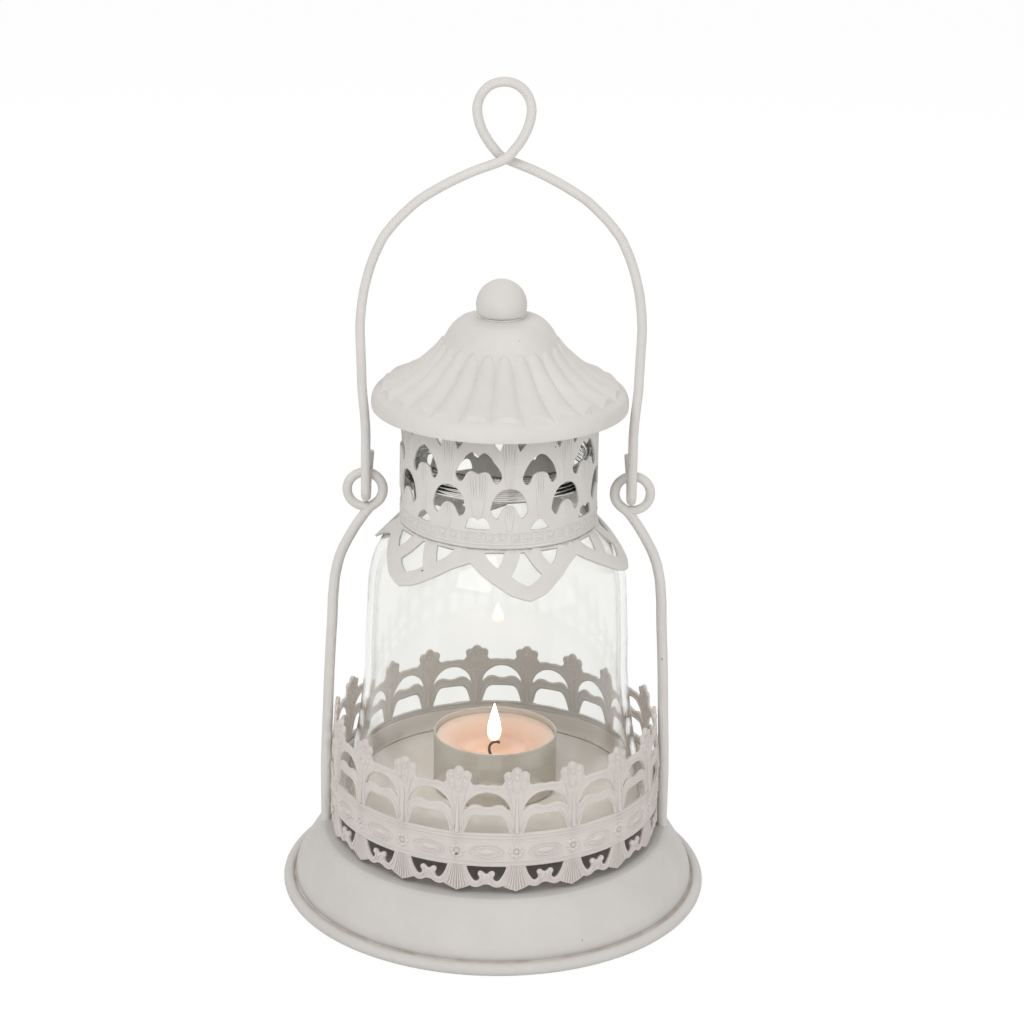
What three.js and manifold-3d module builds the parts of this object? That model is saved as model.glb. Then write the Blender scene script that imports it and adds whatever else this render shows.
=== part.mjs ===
// Tealight lantern: a pressed dish with a pierced gallery, a glass chimney between two wire
// uprights, a pierced cap with a fluted roof, and a bail that hooks into the uprights' eyes.
// Millimetres, +Z up, origin at the centre of the face the base stands on, front towards -Y.

import * as THREE from 'three';
import { mergeVertices } from 'three/addons/utils/BufferGeometryUtils.js';
import Module from 'manifold-3d';

const wasm = await Module();
wasm.setup();

// Stock and fits
const sheet = 0.8; // pressed sheet of base, pan and roof
const laceSheet = 0.8; // stamped strip of gallery, collar and petals
const wireR = 1.3; // uprights and bail
const clearance = 0.3; // between pieces that touch in a point or a line

// Base dish
const baseR = 65.5;
const baseTopZ = 19;
const beadR = 1.8;
const beadFootWidth = 1.2; // flat worn on the bead where it stands
const slopeTopPull = [0.21, 0.063]; // handles of the slope's curve, as shares of its width and height
const slopeFootPull = [0.047, 0.335];

// Pan and its fixing
const panGap = 12.2; // from the base top to the underside of the pan
const panRimH = 5.6;
const panFlare = 1.4;
const spacerR = 5;
const rivetR = 2;
const rivetHeadR = 4.5;
const rivetHeadH = 0.9;

// Glass chimney
const glassFootR = 46.2;
const glassFootPlay = 1.8; // from the foot to the wall of the pan
const glassBellyR = 40;
const glassShoulderR = 39.2;
const glassNeckR = 27.5;
const glassWall = 2.2;
const glassBellyH = 42;
const glassShoulderH = 63;
const glassNeckH = 89.4;
const glassH = 109;
const lipBulge = 0.7;
const lipH = 5;

// Gallery
const galleryCount = 18;
const galleryStart = 8; // degrees from the front to the first floret
const laceFootGap = 1.4; // from the base top to the tips of the fans
const laceH = 8.9;
const beltH = 9.4;
const crownH = 20.7;
const crownLean = 1.5;

// Petal ring
const petalCount = 6;
const petalStart = 14.2;
const petalReach = 10.9;
const petalDrop = 11.8;
const flangePlay = 0.3; // the ring slips over the lip of the glass
const flangeW = 1.1;

// Collar
const collarCount = 10;
const collarStart = -11.5;
const collarPlay = 0.6; // from the lip of the glass to the collar
const collarSheet = 0.6;
const collarShowH = 34.9; // from the collar's foot to the roof's rim

// Roof
const roofRimR = 38.1;
const roofH = 27.1;
const crownFlatR = 8;
const fluteCount = 24;
const fluteStart = 11; // degrees from the front to a valley
const fluteDepth = 0.9;

// Finial
const ballR = 7.5;
const ballFlatH = 3.05; // from the centre down to the flat
const washerR = 6.2;
const washerH = 0.6;
const screwR = 1.5;
const screwReach = 5.6; // into the ball
const screwHeadR = 3.2;
const screwHeadH = 1.8;
const innerWasherR = 5;

// Uprights and bail
const eyeR = 5.2; // centre line of the eye
const eyeRise = 8.4; // from the collar's foot to the centre of the eye
const bailPlay = 0.9; // from the roof's rim to the bail
const bailSplay = 0.8; // how far the arms spread between hook and rim
const bailSwell = 0.9; // and from the rim to their widest place
const hookPlay = 0.6;
const hookInset = 0.5; // the hook hangs inside the centre of the eye
const hookTail = 10.5; // straight end behind the eye
const hookStraight = 9; // straight start of the arm in front of it
const liftRoom = 33.8; // from the finial to the crossing of the bail
const loopHalfW = 7.8;
const loopH = 22.7;

// Tealight
const cupR = 19;
const cupH = 18.4;
const cupWall = 0.5;
const cupRecessH = 1.2; // hollow under the cup
const cupFootW = 4;
const waxDrop = 2.3; // from the rim to the edge of the wax
const poolDepth = 5.1;
const wickR = 0.55;
const wickShow = 3.8; // above the bottom of the pool
const tabR = 6.3;
const tabH = 0.4;
const tabNeckR = 1.3;
const tabNeckH = 3;

const turn = 2 * Math.PI;
const radians = (degrees) => (degrees * Math.PI) / 180;

// Geometry helpers

function closedMesh(geometry) {
  const bare = geometry.clone();
  for (const name of ['normal', 'uv']) if (bare.hasAttribute(name)) bare.deleteAttribute(name);
  const merged = mergeVertices(bare, 1e-4);
  const index = merged.index.array;
  const kept = [];
  for (let i = 0; i < index.length; i += 3) {
    const [a, b, c] = [index[i], index[i + 1], index[i + 2]];
    if (a !== b && b !== c && c !== a) kept.push(a, b, c);
  }
  merged.setIndex(kept);
  if (volume(merged) < 0) {
    for (let i = 0; i < kept.length; i += 3) [kept[i], kept[i + 1]] = [kept[i + 1], kept[i]];
    merged.setIndex(kept);
  }
  return merged;
}

function volume(geometry) {
  const corners = [new THREE.Vector3(), new THREE.Vector3(), new THREE.Vector3()];
  const index = geometry.index.array;
  let sum = 0;
  for (let i = 0; i < index.length; i += 3) {
    corners.forEach((corner, k) => corner.fromBufferAttribute(geometry.attributes.position, index[i + k]));
    sum += corners[0].dot(corners[1].cross(corners[2]));
  }
  return sum;
}

function solid(geometry) {
  const closed = closedMesh(geometry);
  return new wasm.Manifold(new wasm.Mesh({
    numProp: 3,
    vertProperties: new Float32Array(closed.attributes.position.array),
    triVerts: new Uint32Array(closed.index.array),
  }));
}

function fromSolid(manifold) {
  const mesh = manifold.getMesh();
  const geometry = new THREE.BufferGeometry();
  geometry.setAttribute('position', new THREE.BufferAttribute(mesh.vertProperties, 3));
  geometry.setIndex([...mesh.triVerts]);
  return geometry;
}

// A profile of [radius, height] points turned about Z, listed up the outside and down the inside.
function turned(profile, segments, start = 0) {
  const points = profile.map(([r, z]) => new THREE.Vector2(r, z));
  return new THREE.LatheGeometry(points, segments, start).rotateX(Math.PI / 2);
}

function ring(inner, outer, low, high, segments, start = 0) {
  return turned([[inner, low], [outer, low], [outer, high], [inner, high], [inner, low]], segments, start);
}

// An outline of [along, up] points pushed through a wall at an azimuth counted from the front.
function punch(outline, azimuth, near, far) {
  const shape = new THREE.Shape(outline.map(([u, z]) => new THREE.Vector2(u, z)));
  const geometry = new THREE.ExtrudeGeometry(shape, { depth: far - near, bevelEnabled: false });
  const along = new THREE.Vector3(Math.cos(azimuth), Math.sin(azimuth), 0);
  const out = new THREE.Vector3(Math.sin(azimuth), -Math.cos(azimuth), 0);
  const place = new THREE.Matrix4().makeBasis(along, new THREE.Vector3(0, 0, 1), out);
  place.setPosition(out.clone().multiplyScalar(near));
  return solid(geometry.applyMatrix4(place));
}

// Half an outline from the middle outwards, and its mirror image.
const mirrored = (half) => [...half, ...half.filter(([u]) => u > 0).reverse().map(([u, z]) => [-u, z])];

// The same for an edge that runs on to its neighbours, closed beyond the strip's edge.
function openTo(half, beyond) {
  const [reach] = half[half.length - 1];
  return [...half, [reach, beyond], [-reach, beyond], ...mirrored(half).slice(half.length)];
}

function subtractAll(body, cutters) {
  return cutters.reduce((left, cutter) => left.subtract(cutter), body);
}

function smooth(points, steps) {
  return new THREE.CatmullRomCurve3(points.map((p) => new THREE.Vector3(...p))).getSpacedPoints(steps);
}

// A round wire whose sections stand at the points themselves.
class WireCurve extends THREE.CatmullRomCurve3 {
  getPointAt(u, target) { return this.getPoint(u, target); }
  getTangentAt(u, target) { return this.getTangent(u, target); }
}

function wire(points, radius, sides) {
  const section = new THREE.Shape(Array.from({ length: sides }, (_, i) => new THREE.Vector2(
    radius * Math.cos((turn * (i + 0.5)) / sides),
    radius * Math.sin((turn * (i + 0.5)) / sides),
  )));
  const path = new WireCurve(points);
  const steps = points.length - 1;
  return new THREE.ExtrudeGeometry(section, { steps, extrudePath: path, bevelEnabled: false });
}

// The height at which a profile of [radius, height] points reaches a radius.
function heightAt(profile, radius) {
  for (let i = 1; i < profile.length; i += 1) {
    const [r0, z0] = profile[i - 1];
    const [r1, z1] = profile[i];
    const between = (r0 - radius) * (r1 - radius) <= 0 && r0 !== r1;
    if (between) return z0 + ((radius - r0) / (r1 - r0)) * (z1 - z0);
  }
  return profile[profile.length - 1][1];
}

function bezier(from, handle1, handle2, to, steps) {
  const corners = [from, handle1, handle2, to].map((p) => new THREE.Vector2(...p));
  return new THREE.CubicBezierCurve(...corners).getPoints(steps).map((p) => [p.x, p.y]);
}

// Where the pieces meet
const panFloorZ = baseTopZ + panGap + sheet;
const panFloorR = glassFootR + glassFootPlay;
const panRimR = panFloorR + panFlare;
const galleryR = panRimR + clearance + laceSheet;
const uprightX = galleryR + clearance + wireR;
const baseTopR = uprightX + wireR;

const group = new THREE.Group();

function add(name, geometry, colour, roughness, metalness = 0) {
  const material = new THREE.MeshStandardMaterial({ color: colour, roughness, metalness });
  const mesh = new THREE.Mesh(geometry, material);
  mesh.name = name;
  group.add(mesh);
}

const paint = 0xdcd9d5;
const paintRoughness = 0.72;

// Base dish: an open shell with a rolled bead at its foot
function baseDish() {
  const grooveR = baseR - 2 * beadR + 0.1;
  const grooveZ = 1.75 * beadR;
  const slope = (r0, z0, r1, z1) => bezier(
    [r0, z0],
    [r0 + (r1 - r0) * slopeTopPull[0], z0 - (z0 - z1) * slopeTopPull[1]],
    [r1 - (r1 - r0) * slopeFootPull[0], z1 + (z0 - z1) * slopeFootPull[1]],
    [r1, z1],
    5,
  );
  const centreR = baseR - beadR;
  const bead = (angle) => [centreR + beadR * Math.cos(angle), beadR + beadR * Math.sin(angle)];
  const beadOver = [100, 50, 0, -40].map((degrees) => bead(radians(degrees)));
  const inside = slope(baseTopR - sheet / 2, baseTopZ - sheet, grooveR - sheet, grooveZ - 1);
  const outline = [
    [rivetR + clearance, baseTopZ - sheet],
    ...inside,
    [grooveR - sheet / 2, beadR * 0.5],
    [centreR - beadFootWidth / 2, 0],
    [centreR + beadFootWidth / 2, 0],
    ...beadOver.reverse(),
    ...slope(baseTopR, baseTopZ, grooveR, grooveZ).reverse(),
    [rivetR + clearance, baseTopZ],
    [rivetR + clearance, baseTopZ - sheet],
  ];
  return closedMesh(turned(outline, 40));
}

function pan() {
  const under = panFloorZ - sheet;
  const top = panFloorZ + panRimH;
  return closedMesh(turned([
    [rivetR + clearance, under],
    [panFloorR - 0.4, under],
    [panFloorR + sheet * 0.6, under + 0.5],
    [panRimR, top - 0.6],
    [panRimR, top],
    [panRimR - sheet, top],
    [panFloorR, panFloorZ + 0.6],
    [panFloorR - 0.7, panFloorZ],
    [rivetR + clearance, panFloorZ],
    [rivetR + clearance, under],
  ], 36));
}

function panSpacer() {
  return closedMesh(ring(rivetR + clearance, spacerR, baseTopZ, panFloorZ - sheet, 20));
}

function rivet() {
  const underBase = baseTopZ - sheet;
  return closedMesh(turned([
    [0, underBase - rivetHeadH],
    [rivetHeadR - 0.4, underBase - rivetHeadH],
    [rivetHeadR, underBase],
    [rivetR, underBase],
    [rivetR, panFloorZ],
    [rivetHeadR, panFloorZ],
    [rivetHeadR - 0.5, panFloorZ + rivetHeadH],
    [0, panFloorZ + rivetHeadH],
  ], 20));
}

// Gallery: fans and scrolls, a belt, then two tiers of arches under florets.
// Outlines are in half pitches from the middle of an arch, and in shares of the tier's height.
const laceFootZ = baseTopZ + laceFootGap;
const beltZ = laceFootZ + laceH;
const beltTopZ = beltZ + beltH;
const crownTopZ = beltTopZ + crownH;

const crownSky = [[0, 0.745], [0.55, 0.74], [0.53, 0.87], [0.8, 0.925], [1.02, 1]];
const upperArch = [[0, 0.635], [0.42, 0.582], [0.787, 0.367], [0.37, 0.449], [0, 0.415]];
const lowerArch = [[0, 0.292], [0.43, 0.285], [0.67, 0.16], [0.78, 0]];
const scrollOpening = [[0, 0.37], [0.2, 0.28], [0.25, 0.62], [0.45, 0.62], [0.67, 0.09]];
const fanFloor = [[0, 0.742], [0.54, 0.83], [1.02, 1]];

function galleryBand() {
  const pitch = turn / galleryCount;
  const half = (Math.PI * galleryR) / galleryCount;
  const overR = 3;
  const up = (outline, z0, height) => outline.map(([u, v]) => [u * half, z0 + v * height]);
  const wall = turned([
    [galleryR - laceSheet, laceFootZ],
    [galleryR, laceFootZ],
    [galleryR, beltTopZ],
    [galleryR - crownLean, crownTopZ],
    [galleryR - crownLean - laceSheet, crownTopZ],
    [galleryR - laceSheet, beltTopZ],
    [galleryR - laceSheet, laceFootZ],
  ], 2 * galleryCount, radians(galleryStart));
  const sky = up(crownSky, beltTopZ, crownH);
  const floor = up(fanFloor, beltZ, -laceH);
  const cutters = [];
  for (let i = 0; i < galleryCount; i += 1) {
    const azimuth = radians(galleryStart) + (i + 0.5) * pitch;
    const cut = (outline) => {
      cutters.push(punch(outline, azimuth, galleryR - crownLean - overR, galleryR + overR));
    };
    cut(openTo(sky, crownTopZ + 1));
    cut(mirrored(up(upperArch, beltTopZ, crownH)));
    cut(mirrored(up(lowerArch, beltTopZ, crownH)));
    cut(mirrored(up(scrollOpening, beltZ, -laceH)));
    cut(openTo(floor, laceFootZ - 1));
  }
  return fromSolid(subtractAll(solid(wall), cutters));
}

add('base_dish', baseDish(), 0xcdcac5, paintRoughness);
add('pan_spacer', panSpacer(), 0x9a9a98, 0.5, 0.8);
add('centre_rivet', rivet(), 0xb4b4b2, 0.4, 0.9);
add('pan', pan(), paint, paintRoughness);
add('gallery_band', galleryBand(), paint, paintRoughness);

// Glass chimney: the outside as one curve from foot to lip, the inside a wall's thickness in
function glassOutside() {
  const z0 = panFloorZ;
  const bell = bezier(
    [glassFootR, z0 + 1.2],
    [glassFootR - (glassFootR - glassBellyR) * 0.62, z0 + glassBellyH * 0.42],
    [glassBellyR, z0 + glassBellyH * 0.62],
    [glassBellyR, z0 + glassBellyH],
    4,
  );
  const shoulder = bezier(
    [glassShoulderR, z0 + glassShoulderH],
    [glassShoulderR - 0.2, z0 + glassShoulderH + (glassNeckH - glassShoulderH) * 0.6],
    [glassNeckR + 0.5, z0 + glassShoulderH + (glassNeckH - glassShoulderH) * 0.722],
    [glassNeckR, z0 + glassNeckH],
    6,
  );
  const top = z0 + glassH;
  return [
    ...bell,
    ...shoulder,
    [glassNeckR, top - lipH],
    [glassNeckR + lipBulge, top - lipH * 0.7],
    [glassNeckR + lipBulge, top - lipH * 0.25],
    [glassNeckR, top],
  ];
}

function glassChimney() {
  const outside = glassOutside();
  const inside = outside.slice(1, -3).map(([r, z]) => [r - glassWall, z]);
  const top = panFloorZ + glassH;
  return closedMesh(turned([
    [glassFootR - 0.8, panFloorZ],
    ...outside,
    [glassNeckR - glassWall, top],
    ...inside.reverse(),
    [glassFootR - glassWall, panFloorZ + 1.2],
    [glassFootR - glassWall + 0.6, panFloorZ],
    [glassFootR - 0.8, panFloorZ],
  ], 32));
}

// Petal ring: a flat flange on the glass's shoulder, and a cone cut into six pierced petals.
// Outlines are in half petals of azimuth, and in shares of the reach from flange to tip.
const flangeInnerR = glassNeckR + lipBulge + flangePlay;
const petalRootR = flangeInnerR + flangeW;
const petalTipR = petalRootR + petalReach;
const neckCurve = glassOutside().filter(([, z]) => z <= panFloorZ + glassNeckH);
const petalFacets = 5 * petalCount;
const flangeSeatR = flangeInnerR * Math.cos(Math.PI / petalFacets); // across the flats of the facets
const flangeZ = heightAt(neckCurve.reverse(), flangeSeatR) + clearance;
const collarFootZ = flangeZ + laceSheet;

const petalEdge = [[0, 1], [0.15, 0.965], [0.3, 0.87], [0.57, 0.615], [1.01, 0.26]];
const petalKite = [[0, 0.046], [0.038, 0.046], [0.118, 0.255], [0.256, 0.51], [0, 0.716]];
const petalGap = [[0.34, 0.035], [0.71, 0.04], [0.456, 0.35]];

function petalRing() {
  const pitch = turn / petalCount;
  const steep = laceSheet * 1.35;
  const beyond = 1.06;
  const cone = turned([
    [flangeInnerR, flangeZ],
    [petalRootR - 0.2, flangeZ],
    [petalRootR + petalReach * beyond, collarFootZ - steep - petalDrop * beyond],
    [petalRootR + petalReach * beyond, collarFootZ - petalDrop * beyond],
    [petalRootR, collarFootZ],
    [flangeInnerR, collarFootZ],
    [flangeInnerR, flangeZ],
  ], petalFacets, radians(petalStart) + pitch / 2);
  const inPlan = ([along, out], middle) => {
    const azimuth = middle + (along * pitch) / 2;
    const r = petalRootR + out * petalReach;
    return new THREE.Vector2(r * Math.sin(azimuth), -r * Math.cos(azimuth));
  };
  const prism = (points) => solid(new THREE.ExtrudeGeometry(new THREE.Shape(points), {
    depth: 4 * petalDrop,
    bevelEnabled: false,
  }).translate(0, 0, collarFootZ - 3 * petalDrop));
  const rim = [];
  const holes = [];
  for (let i = 0; i < petalCount; i += 1) {
    const middle = radians(petalStart) + i * pitch;
    const leftToRight = [...petalEdge.slice(1).reverse().map(([a, r]) => [-a, r]), ...petalEdge];
    rim.push(...leftToRight.slice(1, -1).map((p) => inPlan(p, middle)));
    rim.push(inPlan([1, petalEdge[petalEdge.length - 1][1]], middle));
    holes.push(prism(mirrored(petalKite).map((p) => inPlan(p, middle))));
    holes.push(prism(petalGap.map((p) => inPlan(p, middle))));
    holes.push(prism(petalGap.map(([a, r]) => inPlan([-a, r], middle))));
  }
  return fromSolid(subtractAll(solid(cone).intersect(prism(rim)), holes));
}

add('glass_chimney', glassChimney(), 0xf4f6f5, 0.05);
add('petal_ring', petalRing(), paint, paintRoughness);

// Roof: a bell crown, fluted skirt and turned-down rim, hollow below
const roofRimZ = collarFootZ + collarShowH;
const roofTopZ = roofRimZ + roofH;
const roofShape = [
  [0.13, 0.965], [0.25, 0.825], [0.37, 0.625], [0.6, 0.38],
  [0.845, 0.235], [0.978, 0.145], [1, 0.06], [0.997, 0],
];
const roofOutline = [
  [crownFlatR, roofTopZ],
  ...roofShape.map(([out, up]) => [crownFlatR + (roofRimR - crownFlatR) * out, roofRimZ + roofH * up]),
];
const fluteSpan = [0.42, 0.88]; // where the flutes begin and end, in shares of the rim's radius
const fluteFade = 0.12;

function fluteStrength(r) {
  const share = r / roofRimR;
  const rise = THREE.MathUtils.clamp((share - fluteSpan[0]) / fluteFade, 0, 1);
  const fall = THREE.MathUtils.clamp((fluteSpan[1] + fluteFade / 2 - share) / (fluteFade / 2), 0, 1);
  return Math.min(rise, fall);
}

function roof() {
  const segments = 3 * fluteCount;
  const outer = turned([[0, roofRimZ], ...[...roofOutline].reverse(), [0, roofTopZ]], segments);
  const place = outer.attributes.position;
  const point = new THREE.Vector3();
  for (let i = 0; i < place.count; i += 1) {
    point.fromBufferAttribute(place, i);
    const r = Math.hypot(point.x, point.y);
    const phase = (Math.atan2(point.x, -point.y) * fluteCount) / turn;
    const inValley = Math.abs(phase - Math.round(phase)) < 0.17;
    if (inValley && r > crownFlatR && point.z > roofRimZ) {
      place.setZ(i, point.z - fluteDepth * fluteStrength(r));
    }
  }
  outer.rotateZ(radians(fluteStart));
  const hollow = roofOutline.slice(0, -2).map(([r, z]) => [
    Math.max(r - sheet * 0.9, 0),
    z - sheet - fluteDepth * fluteStrength(r),
  ]);
  const mouthR = roofRimR - sheet;
  const inner = turned([[0, roofRimZ - 1], [mouthR, roofRimZ - 1], [mouthR, roofRimZ + 1.2],
    ...hollow.reverse(), [0, roofTopZ - sheet]], 36);
  const hole = new THREE.CylinderGeometry(screwR + clearance, screwR + clearance, 4 * sheet, 16);
  hole.rotateX(Math.PI / 2).translate(0, 0, roofTopZ);
  return fromSolid(solid(outer).subtract(solid(inner)).subtract(solid(hole)));
}

// Collar: buds and tulips pierced from a strip, on a plain foot.
// Outlines are in half pitches, and in shares of the height that shows below the roof.
const collarInnerR = glassNeckR + lipBulge + collarPlay;
const collarR = collarInnerR + collarSheet;
const collarTopZ = heightAt(roofOutline, collarR + sheet) - sheet - fluteDepth - 2 * clearance;

const tulipOpening = [
  [0, 0.825], [0.33, 0.815], [0.62, 0.665], [0.56, 0.585], [0.42, 0.58], [0.25, 0.66], [0, 0.66],
];
const domeOpening = [[0, 0.534], [0.36, 0.497], [0.6, 0.335], [0.4, 0.268], [0.2, 0.355], [0, 0.38]];
const lowArch = [[0, 0.265], [0.3, 0.255], [0.39, 0.175]];
const budOpening = [[0.13, 0.985], [0.31, 0.85], [0.66, 0.985]];

function collarBand() {
  const half = (Math.PI * collarR) / collarCount;
  const pitch = turn / collarCount;
  const facetStart = radians(collarStart) + pitch / 6;
  const wall = ring(collarInnerR, collarR, collarFootZ, collarTopZ, 3 * collarCount, facetStart);
  const scaled = (outline) => outline.map(([u, v]) => [u * half, collarFootZ + v * collarShowH]);
  const cutReach = 6 * collarSheet; // how far the cutters stand out of the strip
  const cutters = [];
  for (let i = 0; i < collarCount; i += 1) {
    const tulip = radians(collarStart) + i * pitch;
    const bud = tulip + pitch / 2;
    const cut = (outline, azimuth) => cutters.push(punch(outline, azimuth, collarR - cutReach, collarR + cutReach));
    cut(mirrored(scaled(tulipOpening)), tulip);
    cut(mirrored(scaled(lowArch)), tulip);
    cut(mirrored(scaled(domeOpening)), bud);
    cut(scaled(budOpening), bud);
    cut(scaled(budOpening.map(([u, v]) => [-u, v])), bud);
  }
  return fromSolid(subtractAll(solid(wall), cutters));
}

// Finial: a ball cut flat, on a washer, held by a screw from inside the roof
const ballFlatZ = roofTopZ + washerH;
const ballZ = ballFlatZ + ballFlatH;
const finialTopZ = ballZ + ballR;

function finialBall() {
  const flatAngle = Math.asin(ballFlatH / ballR);
  const steps = 7;
  const boreR = screwR + clearance;
  const boreTop = ballFlatZ + screwReach + clearance;
  const cap = Array.from({ length: steps + 1 }, (_, i) => {
    const angle = -flatAngle + ((Math.PI / 2 + flatAngle) * i) / steps;
    return [i === steps ? 0 : ballR * Math.cos(angle), ballZ + ballR * Math.sin(angle)];
  });
  const edge = cap[0][0];
  return closedMesh(turned([
    [0, boreTop],
    [boreR, boreTop],
    [boreR, ballFlatZ],
    [edge - 0.5, ballFlatZ],
    [edge, ballFlatZ + 0.35],
    ...cap.slice(1),
  ], 20));
}

const washer = (outerR, low) => closedMesh(ring(screwR + clearance, outerR, low, low + washerH, 18));

function finialScrew() {
  const headTop = roofTopZ - sheet - washerH;
  return closedMesh(turned([
    [0, headTop - screwHeadH],
    [screwHeadR - 0.6, headTop - screwHeadH],
    [screwHeadR, headTop - screwHeadH + 0.6],
    [screwHeadR, headTop],
    [screwR, headTop],
    [screwR, ballFlatZ + screwReach],
    [0, ballFlatZ + screwReach],
  ], 16));
}

add('collar_band', collarBand(), 0xd6d5d2, paintRoughness);
add('roof', roof(), 0xdedbd7, paintRoughness);
add('roof_washer', washer(innerWasherR, roofTopZ - sheet - washerH), 0xb8b8b6, 0.35, 0.9);
add('finial_washer', washer(washerR, roofTopZ), 0xe8e6e2, 0.35, 0.6);
add('finial_ball', finialBall(), 0xdddad6, paintRoughness);
add('finial_screw', finialScrew(), 0xb8b8b6, 0.35, 0.9);

// Uprights: from the base straight up beside the gallery, in over the shoulder, round the eye
const bailArmX = roofRimR + bailPlay + wireR;
const hookX = bailArmX - bailSplay;
const eyeX = hookX + hookInset;
const eyeZ = collarFootZ + eyeRise;
const wireSides = 8;

const uprightBend = [
  [0, 0], [0, 0.21], [0.072, 0.413], [0.19, 0.678], [0.27, 0.808],
  [0.387, 0.872], [0.64, 0.936], [0.8, 0.968], [1, 1],
];

function upright(side) {
  const entry = [eyeX + 1, eyeZ - eyeR - 3.9];
  const rise = uprightBend.map(([inward, share]) => [
    uprightX - (uprightX - entry[0]) * inward,
    0,
    baseTopZ + (entry[1] - baseTopZ) * share,
  ]);
  const startAngle = radians(234);
  const onEye = (angle) => [eyeX + eyeR * Math.cos(angle), 0, eyeZ + eyeR * Math.sin(angle)];
  const toEye = [...rise, [eyeX - 1.1, 0, eyeZ - eyeR - 1.2], onEye(startAngle)];
  const stem = smooth([...toEye, onEye(startAngle - 0.4)], 60).slice(0, -2);
  const nearest = (p) => Math.min(...stem.map((q) => q.distanceTo(p)));
  // the eye closes until its end nearly meets the stem
  let endAngle = startAngle - turn;
  while (nearest(new THREE.Vector3(...onEye(endAngle))) < 2 * wireR + clearance) endAngle += radians(1);
  const eyeSteps = 14;
  const around = Array.from({ length: eyeSteps }, (_, i) => (
    onEye(startAngle + ((endAngle - startAngle) * (i + 1)) / eyeSteps)
  ));
  const shape = smooth(toEye, 22);
  const points = [...shape, ...around.map((p) => new THREE.Vector3(...p))];
  points.forEach((p) => { p.x *= side; });
  return closedMesh(wire(points, wireR, wireSides));
}

add('left_upright', upright(-1), 0xd0cec9, paintRoughness);
add('right_upright', upright(1), 0xd0cec9, paintRoughness);

// Bail: each end is a hook that passes through an eye from front to back
const hookHalfGap = 2 * wireR + hookPlay;
const eyeHoleR = eyeR - wireR;
const hookLowZ = eyeZ - Math.sqrt(eyeHoleR ** 2 - hookInset ** 2) + wireR + clearance;
const hookCentreZ = hookLowZ + hookHalfGap;
const crossingZ = finialTopZ + liftRoom + wireR;
const armFootZ = hookCentreZ + hookStraight;
const bailHalfW = bailArmX + bailSwell;

const armShape = [
  [0.953, 0.066], [0.978, 0.203], [0.992, 0.3], [1, 0.44], [0.998, 0.5], [0.983, 0.542],
  [0.954, 0.609], [0.91, 0.674], [0.845, 0.741], [0.735, 0.807], [0.583, 0.872], [0.4, 0.923],
  [0.197, 0.969],
];
const loopShape = [
  [0.24, 0.07], [0.46, 0.155], [0.82, 0.36], [0.98, 0.52], [1, 0.65], [0.9, 0.8], [0.68, 0.91], [0.36, 0.98],
];

function bail() {
  const cross = wireR + clearance / 2;
  const arm = (side) => {
    const y = (share) => -hookHalfGap + (side * cross + hookHalfGap) * share;
    const hook = [[hookX, hookHalfGap, hookCentreZ + hookTail]];
    hook.push([hookX, hookHalfGap, hookCentreZ + hookTail / 2]);
    const bendSteps = 6;
    for (let i = 0; i <= bendSteps; i += 1) {
      const angle = (Math.PI * i) / bendSteps;
      hook.push([hookX, hookHalfGap * Math.cos(angle), hookCentreZ - hookHalfGap * Math.sin(angle)]);
    }
    hook.push([hookX, -hookHalfGap, armFootZ]);
    const rest = armShape.map(([w, share]) => [
      bailHalfW * w,
      y(share),
      armFootZ + (crossingZ - armFootZ) * share,
    ]);
    return [...hook, ...rest].map(([x, y0, z]) => [side * x, y0, z]);
  };
  const loop = (side) => loopShape.map(([w, share]) => [
    side * loopHalfW * w,
    -side * cross * (1 - share),
    crossingZ + loopH * share,
  ]);
  const points = [
    ...arm(1),
    [0, cross, crossingZ],
    ...loop(-1),
    [0, 0, crossingZ + loopH],
    ...loop(1).reverse(),
    [0, -cross, crossingZ],
    ...arm(-1).reverse(),
  ].map((p) => new THREE.Vector3(...p));
  return closedMesh(wire(points, wireR, wireSides));
}

add('bail', bail(), 0xd4d2ce, paintRoughness);

// Tealight: a thin cup hollow underneath, wax with a melted pool, and a wick in its tab
const cupFloorZ = panFloorZ + cupRecessH + cupWall;
const waxEdgeZ = panFloorZ + cupH - waxDrop;
const poolZ = waxEdgeZ - poolDepth;

function tealightCup() {
  const rim = panFloorZ + cupH;
  const recessR = cupR - cupFootW;
  return closedMesh(turned([
    [0, panFloorZ + cupRecessH],
    [recessR - 1, panFloorZ + cupRecessH],
    [recessR, panFloorZ],
    [cupR - 0.6, panFloorZ],
    [cupR, panFloorZ + 0.6],
    [cupR, rim],
    [cupR - cupWall, rim],
    [cupR - cupWall, cupFloorZ],
    [0, cupFloorZ],
  ], 28));
}

function tealightWax() {
  const waxR = cupR - cupWall - clearance;
  const boreR = wickR + clearance;
  const pool = bezier(
    [waxR - 2.2, waxEdgeZ],
    [waxR * 0.62, waxEdgeZ - 0.5],
    [waxR * 0.5, poolZ],
    [boreR, poolZ],
    5,
  );
  const neckTop = cupFloorZ + tabH + tabNeckH + clearance;
  return closedMesh(turned([
    [tabR + clearance, cupFloorZ],
    [waxR, cupFloorZ],
    [waxR, waxEdgeZ],
    ...pool,
    [boreR, neckTop],
    [tabNeckR + clearance, neckTop],
    [tabNeckR + clearance, cupFloorZ + tabH + clearance],
    [tabR + clearance, cupFloorZ + tabH + clearance],
    [tabR + clearance, cupFloorZ],
  ], 20));
}

function wickTab() {
  const boreR = wickR + 0.1;
  const top = cupFloorZ + tabH;
  return closedMesh(turned([
    [boreR, cupFloorZ],
    [tabR, cupFloorZ],
    [tabR, top],
    [tabNeckR, top],
    [tabNeckR, top + tabNeckH],
    [boreR, top + tabNeckH],
    [boreR, cupFloorZ],
  ], 16));
}

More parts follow.
